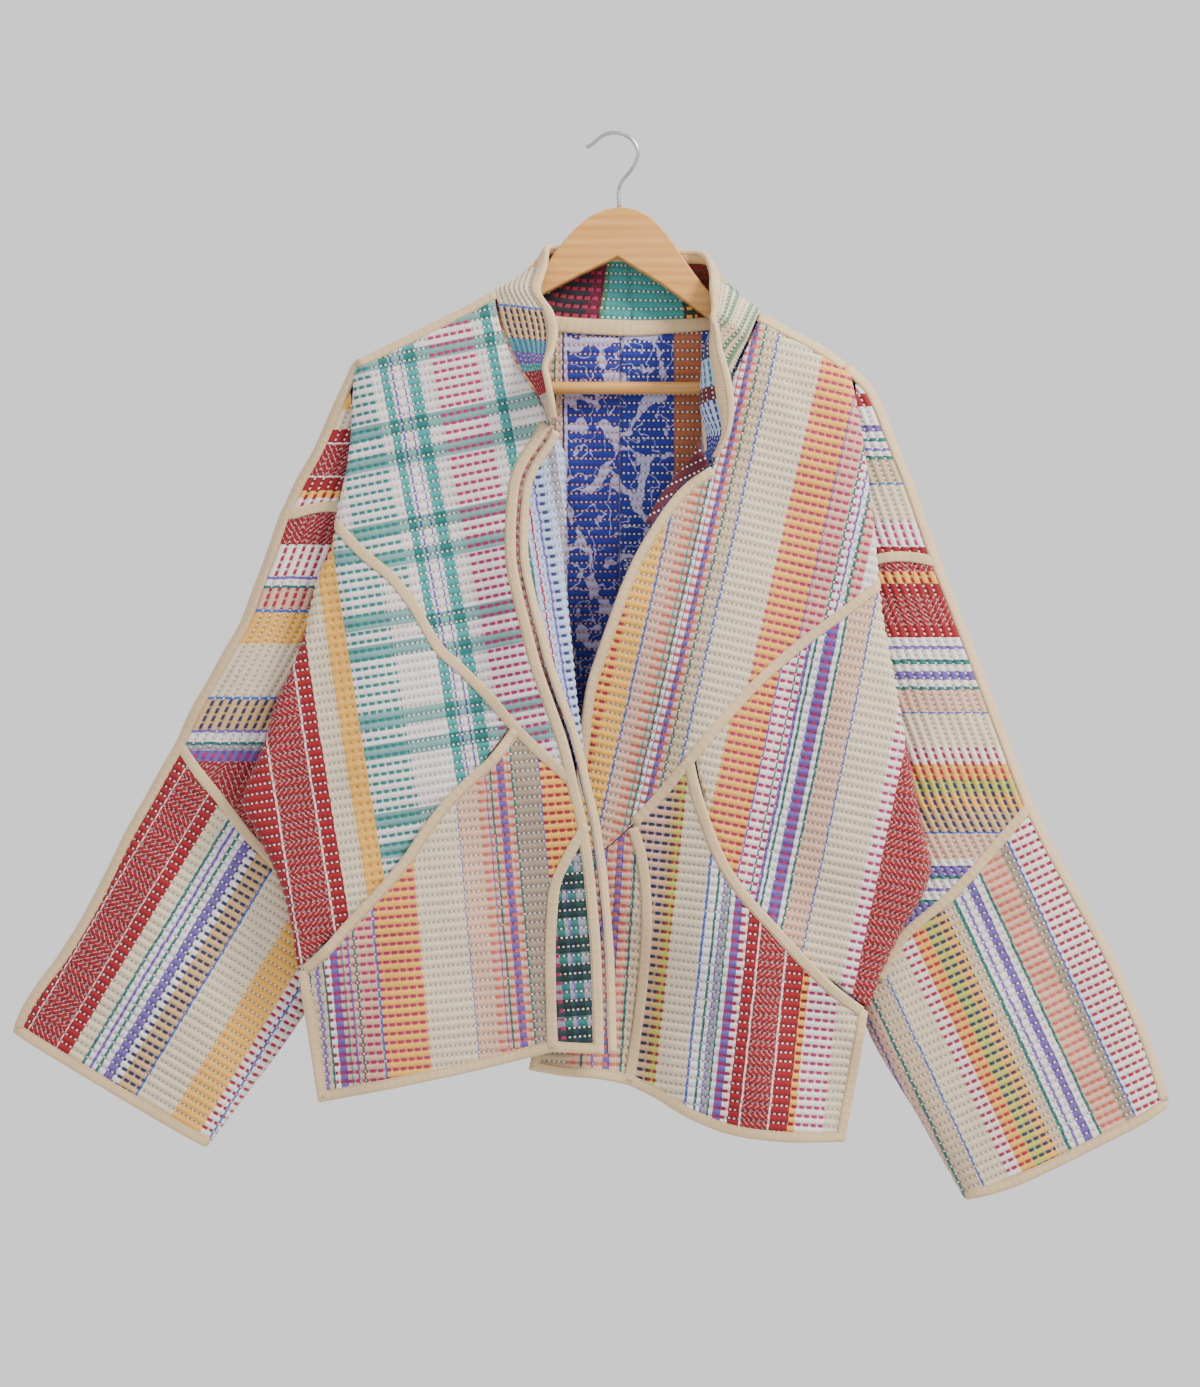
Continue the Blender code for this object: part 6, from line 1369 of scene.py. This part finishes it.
def patchwork(name, stripes, bars=None, printed=False, low_row=0.0, pitch=ROW_PITCH):
    """Old cotton in dyed strips side by side, crossed by rows of running stitch in several threads."""
    found, tree, shader, places = start(name, 0.9, 0.0, 0.15)
    stripes = [(s[0], s[1], s[2] if len(s) > 2 else "white") for s in stripes]
    along, row = cloth_values(tree)
    low, high = stripes[0][0] - 1.0, stripes[-1][0] + 1.0
    waver = add(tree, "TexNoise", {"Vector": places, "Scale": per_metre(11.11), "Detail": 1.0}).outputs[0]
    waver = work(tree, "MULTIPLY", work(tree, "SUBTRACT", waver, 0.5), 1.6)
    past_low = work(tree, "SUBTRACT", work(tree, "ADD", along, waver), low)
    share = work(tree, "DIVIDE", past_low, high - low, clamp=True)
    at = [0.0] + [(s[0] - low) / (high - low) for s in stripes[1:]]
    mark = "royal" if printed else "scarlet"
    marked = [1.0 if s[1] == mark else 0.0 for s in stripes]
    base, special = steps(tree, share, zip(at, [s[1] for s in stripes], marked))
    halves = [THIN_THREAD if s[2] in ("white", "peach") else THICK_THREAD for s in stripes]
    threads = ["teal_thread" if s[2] in ("teal", "dark_teal") else s[2] for s in stripes]
    thread, width = steps(tree, share, zip(at, threads, [half / THREAD_SCALE for half in halves]))
    width = work(tree, "MULTIPLY", width, THREAD_SCALE)

    # Rows and stitches
    nearest = work(tree, "FLOOR", work(tree, "ADD", row, 0.5))
    off = work(tree, "MULTIPLY", apart(tree, row, nearest), pitch)
    shift = add(tree, "TexWhiteNoise", {"W": nearest}, noise_dimensions="1D").outputs[0]
    shifted = work(tree, "MULTIPLY_ADD", shift, 1.6, work(tree, "MULTIPLY_ADD", waver, 0.7, along))
    beat = from_middle(tree, shifted, work(tree, "MULTIPLY_ADD", width, 3.4, STITCH - 3.4))
    in_stitch = below(tree, work(tree, "MULTIPLY_ADD", width, 0.16, 0.11), beat, STITCH_EDGE)
    in_row = below(tree, width, work(tree, "MULTIPLY_ADD", waver, 0.22, off), 2.6)
    stitched = work(tree, "MULTIPLY", in_stitch, in_row)
    if not printed:
        hatch = work(tree, "MULTIPLY", hatching(tree, along, row, waver, pitch), special)
        fewer = work(tree, "SUBTRACT", 1.0, work(tree, "MULTIPLY", special, 0.6))
        stitched = work(tree, "MAXIMUM", work(tree, "MULTIPLY", stitched, fewer),
                        work(tree, "MULTIPLY", hatch, 0.65))

    # Cloth colour, worn, with painted shade in its furrows and in the gaps between its stitches
    if bars is not None:
        crossing = cross_bars(tree, along, work(tree, "MULTIPLY_ADD", row, pitch, low_row), bars)
        base = blend(tree, crossing, base, (*linear(DYES[bars[4]]), 1), "MULTIPLY")
    if printed:
        base = blend(tree, special, base, print_on(tree, places, base))
    slubs = add(tree, "TexNoise", {"Vector": places, "Scale": per_metre(1.111), "Detail": 2.0}).outputs[0]
    worn = add(tree, "TexNoise", {"Vector": places, "Scale": per_metre(45.45), "Detail": 3.0}).outputs[0]
    tone = work(tree, "MULTIPLY_ADD", slubs, 0.34, 0.79)
    tone = work(tree, "MULTIPLY", tone, work(tree, "MULTIPLY_ADD", worn, 0.22, 0.88))
    # Painted shade: the cloth is darkened along each row of stitching, where the ribs dip into a furrow
    furrow = near(tree, off, 2.6)
    tone = work(tree, "MULTIPLY", tone, work(tree, "MULTIPLY_ADD", furrow, -0.22, 1.0))
    # Painted shade: dark pits in each row between its stitches, where the raised thread would shade the cloth
    stitch_gap_shade = work(tree, "MULTIPLY", near(tree, off, 1.3), work(tree, "SUBTRACT", 1.0, in_stitch))
    tone = work(tree, "MULTIPLY", tone, work(tree, "MULTIPLY_ADD", stitch_gap_shade, -0.4, 1.0))
    tree.links.new(blend(tree, stitched, toned(tree, base, tone), thread), shader.inputs["Base Color"])

    # Relief of weave, stitches and the puckers between them. Threads lie about 0.4 mm apart on such cloth,
    # too fine to show, so the weave is drawn twice as coarse.
    weave = add(tree, "TexNoise", {"Vector": places, "Scale": per_metre(0.7692), "Detail": 2.0}).outputs[0]
    rumple = add(tree, "TexNoise", {"Vector": places, "Scale": per_metre(4.167), "Detail": 2.0}).outputs[0]
    gather = work(tree, "MULTIPLY", beat, near(tree, off, 3.6))
    height = work(tree, "MULTIPLY_ADD", stitched, 0.55, work(tree, "MULTIPLY", weave, 0.25))
    height = work(tree, "MULTIPLY_ADD", rumple, 0.8, height)
    height = work(tree, "ADD", height, work(tree, "MULTIPLY", gather, -1.3))
    bump = add(tree, "Bump", {"Strength": 0.85, "Distance": 0.0009, "Height": height})
    tree.links.new(bump.outputs[0], shader.inputs["Normal"])
    return found


def tape_finish():
    """Woven cotton tape with a line of stitches near its edges."""
    found, tree, shader, places = start("bias_tape", 0.85, 0.0, 0.1)
    along, share = cloth_values(tree)
    line = below(tree, 0.035, apart(tree, apart(tree, share, 0.5), 0.36), 60.0)
    sewn = work(tree, "MULTIPLY", line, below(tree, 0.36, from_middle(tree, along, 2.6), 12.0))
    worn = add(tree, "TexNoise", {"Vector": places, "Scale": per_metre(25.0), "Detail": 3.0}).outputs[0]
    slubs = add(tree, "TexNoise", {"Vector": places, "Scale": per_metre(0.9091), "Detail": 1.0}).outputs[0]
    tone = work(tree, "MULTIPLY", work(tree, "MULTIPLY_ADD", worn, 0.24, 0.87),
                work(tree, "MULTIPLY_ADD", slubs, 0.24, 0.88))
    cloth = toned(tree, (*linear(TAPE_DYE), 1), tone)
    tree.links.new(blend(tree, sewn, cloth, (*linear(TAPE_THREAD), 1)), shader.inputs["Base Color"])
    along_only = add(tree, "CombineXYZ", {0: along}).outputs[0]
    ripple = add(tree, "TexWave", {"Vector": along_only, "Scale": 0.045, "Distortion": 5.0,
                                   "Detail": 2.0}).outputs["Fac"]
    wrinkle = add(tree, "TexNoise", {"Vector": places, "Scale": per_metre(5.263), "Detail": 2.0}).outputs[0]
    height = work(tree, "MULTIPLY_ADD", wrinkle, 0.8, work(tree, "MULTIPLY", slubs, 0.2))
    height = work(tree, "ADD", height, work(tree, "MULTIPLY", ripple, 0.35))
    height = work(tree, "MULTIPLY_ADD", line, -0.5, height)
    bump = add(tree, "Bump", {"Strength": 0.6, "Distance": 0.0008, "Height": height})
    tree.links.new(bump.outputs[0], shader.inputs["Normal"])
    return found


def pine_finish():
    """Varnished softwood with its grain along the hanger."""
    found, tree, shader, places = start("pine", 0.38)
    drawn_out = add(tree, "Mapping", {"Vector": places, "Scale": (6.0, 90.0, 70.0)}).outputs[0]
    grain = add(tree, "TexNoise", {"Vector": drawn_out, "Scale": 1.6, "Detail": 5.0,
                                   "Distortion": 0.6}).outputs[0]
    rings = add(tree, "TexWave", {"Vector": drawn_out, "Scale": 0.55, "Distortion": 3.0, "Detail": 3.0},
                bands_direction="Z").outputs["Fac"]
    mixed = work(tree, "MULTIPLY_ADD", rings, 0.3, work(tree, "MULTIPLY", grain, 0.75))
    colour = blend(tree, mixed, (*linear("#b9762f"), 1), (*linear("#deaa5c"), 1))
    tree.links.new(colour, shader.inputs["Base Color"])
    shader.inputs["Coat Weight"].default_value = 0.25
    bump = add(tree, "Bump", {"Strength": 0.15, "Distance": 0.0004, "Height": grain})
    tree.links.new(bump.outputs[0], shader.inputs["Normal"])
    return found


def steel_finish():
    """Drawn steel wire, slightly dulled."""
    found, tree, shader, places = start("steel", 0.28, 1.0)
    dull = add(tree, "TexNoise", {"Vector": places, "Scale": per_metre(5.556), "Detail": 3.0}).outputs[0]
    colour = blend(tree, dull, (*linear("#9a9b9f"), 1), (*linear("#d0d1d4"), 1))
    tree.links.new(colour, shader.inputs["Base Color"])
    tree.links.new(work(tree, "MULTIPLY_ADD", dull, 0.25, 0.18), shader.inputs["Roughness"])
    return found


def stripes_of(name):
    """A piece's stripes as distances along its rows, lowest first."""
    rows = PANELS[name][1]
    where, stripes = PATCHWORK[name.replace("sleeve_back_lower", "sleeve_lower")]
    if where == "across":
        return sorted(stripes)
    found = []
    for at, *dyes in stripes:
        flat = (at, where)
        if where == "cuff":
            corner, way = CUFF_LINES[name.rsplit("_", 1)[1]]
            flat = (corner[0] + at * way[0], corner[1] + at * way[1])
        found.append((float(to_rows(rows, np.array([flat]))[0, 0]), *dyes))
    return sorted(found)


def dress(obj, node):
    """A piece rides on the jacket's one body and stands for its plain solid."""
    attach(obj, "root")
    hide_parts(node)
    return obj


# Cloth, one piece at a time
TAPE_FINISH = tape_finish()
SHELLS = {}
CUTS = {}
for name, (kind, rows, parts) in PANELS.items():
    low_row, pitch, _ = row_range(rows, outline(kind, parts))
    face = patchwork("dyed_" + name, stripes_of(name), BARS.get(name), False, low_row, pitch)
    if name in BACK_REVERSE:
        reverse = patchwork("reverse_" + name, BACK_REVERSE[name], printed=True)
    else:
        reverse = patchwork("reverse_" + name, PLAIN_REVERSE)
    SHELLS[name], size, area = add_cloth(name, [face, reverse])
    CUTS[name] = (size, area)
    dress(SHELLS[name], name)

collar_table, collar_middle = finer_collar()
for name, first, last, nudge in (("collar_right", 0, collar_middle, -1),
                                 ("collar_left", collar_middle, len(collar_table) - 1, 1)):
    outer, inner = COLLAR_PATCHWORK[name]
    finishes = [patchwork("dyed_" + name, outer, BARS.get(name)), patchwork("reverse_" + name, inner)]
    SHELLS[name], size, area = add_collar_half(name, collar_table, first, last, nudge, finishes)
    CUTS[name] = (size, area)
    dress(SHELLS[name], name)

# Tapes and bindings of both sides: the piece that each goes with, its name, its layer (none for the
# side's front), its seams, how much it stops short at its ends (in mm), and how far it is raised, or
# whether it is lifted with a pocket's mouth
FLAT_TAPES = (
    ("front_side", "slant_tape", None, ("slant_high", "slant_low"), -6.0, 3.0, 0.0),
    ("front_centre", "upright_tape", None, ("upright",), 2.0, 3.0, 0.35),
    ("sleeve_upper", "cap_tape", "sleeve", ("cap",), 3.0, 3.0, 0.0),
    ("sleeve_lower", "elbow_tape", "sleeve", ("elbow",), 3.0, 3.0, 0.0),
    ("sleeve_back_lower", "back_elbow_tape", "back", ("elbow", "elbow_end"), 3.0, 4.0, 0.0),
    ("sleeve_back_upper", "armhole_tape", "back", ("armhole",), 4.0, 4.0, 0.35),
)
EDGE_BINDINGS = (
    ("front_pocket", "pocket_binding", None, "pocket", 2.0, 4.0, True),
    ("sleeve_lower", "cuff_binding", "sleeve", "cuff", 2.0, 2.0, False),
    ("sleeve_back_lower", "back_cuff_binding", "back", "cuff", 2.0, 2.0, False),
)
TAPES = {}


def keep(sheet, obj, node=None):
    """A tape is dressed, stands for the node that it is named after, and goes with one sheet."""
    dress(obj, node or obj.name.removesuffix("_sewn"))
    TAPES.setdefault(sheet, []).append(obj)


for s, turn in (("right", 1), ("left", -1)):
    overarm = [s + "_overarm" + part for part in ("_high", "_middle", "_low")]
    keep("front_upper_" + s, add_seam_binding(
        "shoulder_tape_%s_sewn" % s, s, [s + "_shoulder"], turn, 0.5, 1.5))
    keep("sleeve_middle_" + s, add_seam_binding(
        "overarm_tape_%s_sewn" % s, "sleeve", overarm, turn, 1.5, 5.0))
    for sheet, tape, kind, seams, head, foot, raised in FLAT_TAPES:
        keep(sheet + "_" + s, add_flat_tape(
            "%s_%s_sewn" % (tape, s), kind or s, [s + "_" + seam for seam in seams], head, foot, raised))
    for sheet, tape, kind, seam, head, foot, lifted in EDGE_BINDINGS:
        keep(sheet + "_" + s, add_edge_binding(
            "%s_%s_sewn" % (tape, s), kind or s, [s + "_" + seam], turn, head, foot, lifted))
keep("front_pocket_right", add_edge_binding(
    "hem_binding_right_sewn", "right", ("right_vent", "right_hem_outer", "right_hem_inner"),
    1, 3.0, 2.0, True))
keep("front_pocket_left", add_edge_binding(
    "hem_binding_left_sewn", "left", ("left_vent", "-left_hem_outer", "-left_hem_inner"),
    -1, 3.0, 2.0, True))
keep("back_right", add_edge_binding(
    "hem_binding_back_sewn", "back",
    ("back_vent_right", "back_hem_right", "back_hem_left", "-back_vent_left"),
    1, 3.0, 3.0))
keep("front_centre_right", add_edge_binding("edge_binding_right_sewn", "right", RIGHT_EDGE, -1, 1.0, 0.5))
keep("front_centre_left", add_edge_binding(
    "edge_binding_left_sewn", "left", ("left_edge_high", "left_edge_low"), 1, 1.0, 0.5))
keep("back_left", add_flat_tape("back_seam_tape_sewn", "back", ("back_seam",), 5.0, 5.0))
keep("collar_left", add_collar_edge(collar_table), "collar_binding")
per_station = collar_middle // COLLAR_MIDDLE
keep("collar_right", add_neck_tape(
    "neck_tape_back_sewn", collar_table, 8 * per_station, 18 * per_station, -0.075, 0.10))
keep("collar_left", add_neck_tape(
    "neck_tape_left_sewn", collar_table, 19 * per_station, 28 * per_station, 0.02, 0.18))
keep("facing_right", add_facing_tape("facing_tape_right_sewn"))

# Each piece's flat size and cut area, looked up once more and not used further
for name, obj in SHELLS.items():
    size, area = CUTS[name]

# The hanger: its arms and dowel keep their solids, and the hook is drawn finer
PINE, STEEL = pine_finish(), steel_finish()
for node in ("hanger_arms", "hanger_bar"):
    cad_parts[node].material_slots[0].material = PINE
wire = evenly(spline(WIRE_LINE, 3.0), 2.5)
wire = np.column_stack([wire[:, 0], np.zeros(len(wire)), wire[:, 1]])
run = unit(np.gradient(wire, axis=0))
side = unit(np.cross(run, [0.0, 1.0, 0.0]))
turns = np.linspace(0, 2 * math.pi, 20, endpoint=False)
rings = wire[:, None] + 1.8 * (side[:, None] * np.cos(turns)[None, :, None]
                               + np.cross(side, run)[:, None] * np.sin(turns)[None, :, None])
dress(ring_band("hanger_hook_wire", rings, STEEL, run_of(wire)), "hanger_hook")

# Floor, light and camera
floor_mesh = bpy.data.meshes.new("floor")
FLOOR_LEVEL, FLOOR_HALF = -2.0, 3.0
floor_mesh.from_pydata([(-FLOOR_HALF, -FLOOR_HALF, FLOOR_LEVEL), (FLOOR_HALF, -FLOOR_HALF, FLOOR_LEVEL),
                        (FLOOR_HALF, FLOOR_HALF, FLOOR_LEVEL), (-FLOOR_HALF, FLOOR_HALF, FLOOR_LEVEL)],
                       [], [(0, 1, 2, 3)])
floor = bpy.data.objects.new("floor", floor_mesh)
bpy.context.scene.collection.objects.link(floor)
paint, _, paint_shader, _ = start("pale_floor", 0.9)
paint_shader.inputs["Base Color"].default_value = (*linear("#dcdbdd"), 1)
floor_mesh.materials.append(paint)

world = bpy.data.worlds.new("pale_room")
world.use_nodes = True
world.node_tree.nodes["Background"].inputs["Color"].default_value = (*linear("#f2f1f4"), 1)
world.node_tree.nodes["Background"].inputs["Strength"].default_value = 1.25
bpy.context.scene.world = world


def add_lamp(name, spot, target, size, power, colour):
    """A soft square lamp turned towards a place."""
    data = bpy.data.lights.new(name, "AREA")
    data.shape = "SQUARE"
    data.size = size
    data.energy = power
    data.color = linear(colour)
    lamp = bpy.data.objects.new(name, data)
    lamp.location = spot
    lamp.rotation_euler = (Vector(target) - Vector(spot)).to_track_quat("-Z", "Y").to_euler()
    bpy.context.scene.collection.objects.link(lamp)


MIDDLE = (0.0, 0.0, -0.45)
add_lamp("window", (1.7, -1.1, 1.3), MIDDLE, 0.7, 120.0, "#fffaf2")
add_lamp("bounce", (-1.9, -1.6, -0.3), MIDDLE, 1.6, 6.0, "#eef1ff")
add_lamp("behind", (-0.8, 1.9, 0.9), MIDDLE, 1.2, 16.0, "#ffffff")

CAMERA_X, CAMERA_Z, CAMERA_AWAY = -0.0116, -0.4855, 2.6
CAMERA_ANGLE = 26.1
data = bpy.data.cameras.new("camera")
data.sensor_fit = "VERTICAL"
data.angle = math.radians(CAMERA_ANGLE)
camera = bpy.data.objects.new("camera", data)
camera.location = (CAMERA_X, -CAMERA_AWAY, CAMERA_Z)
camera.rotation_euler = (math.radians(90), 0, 0)
bpy.context.scene.collection.objects.link(camera)
bpy.context.scene.camera = camera
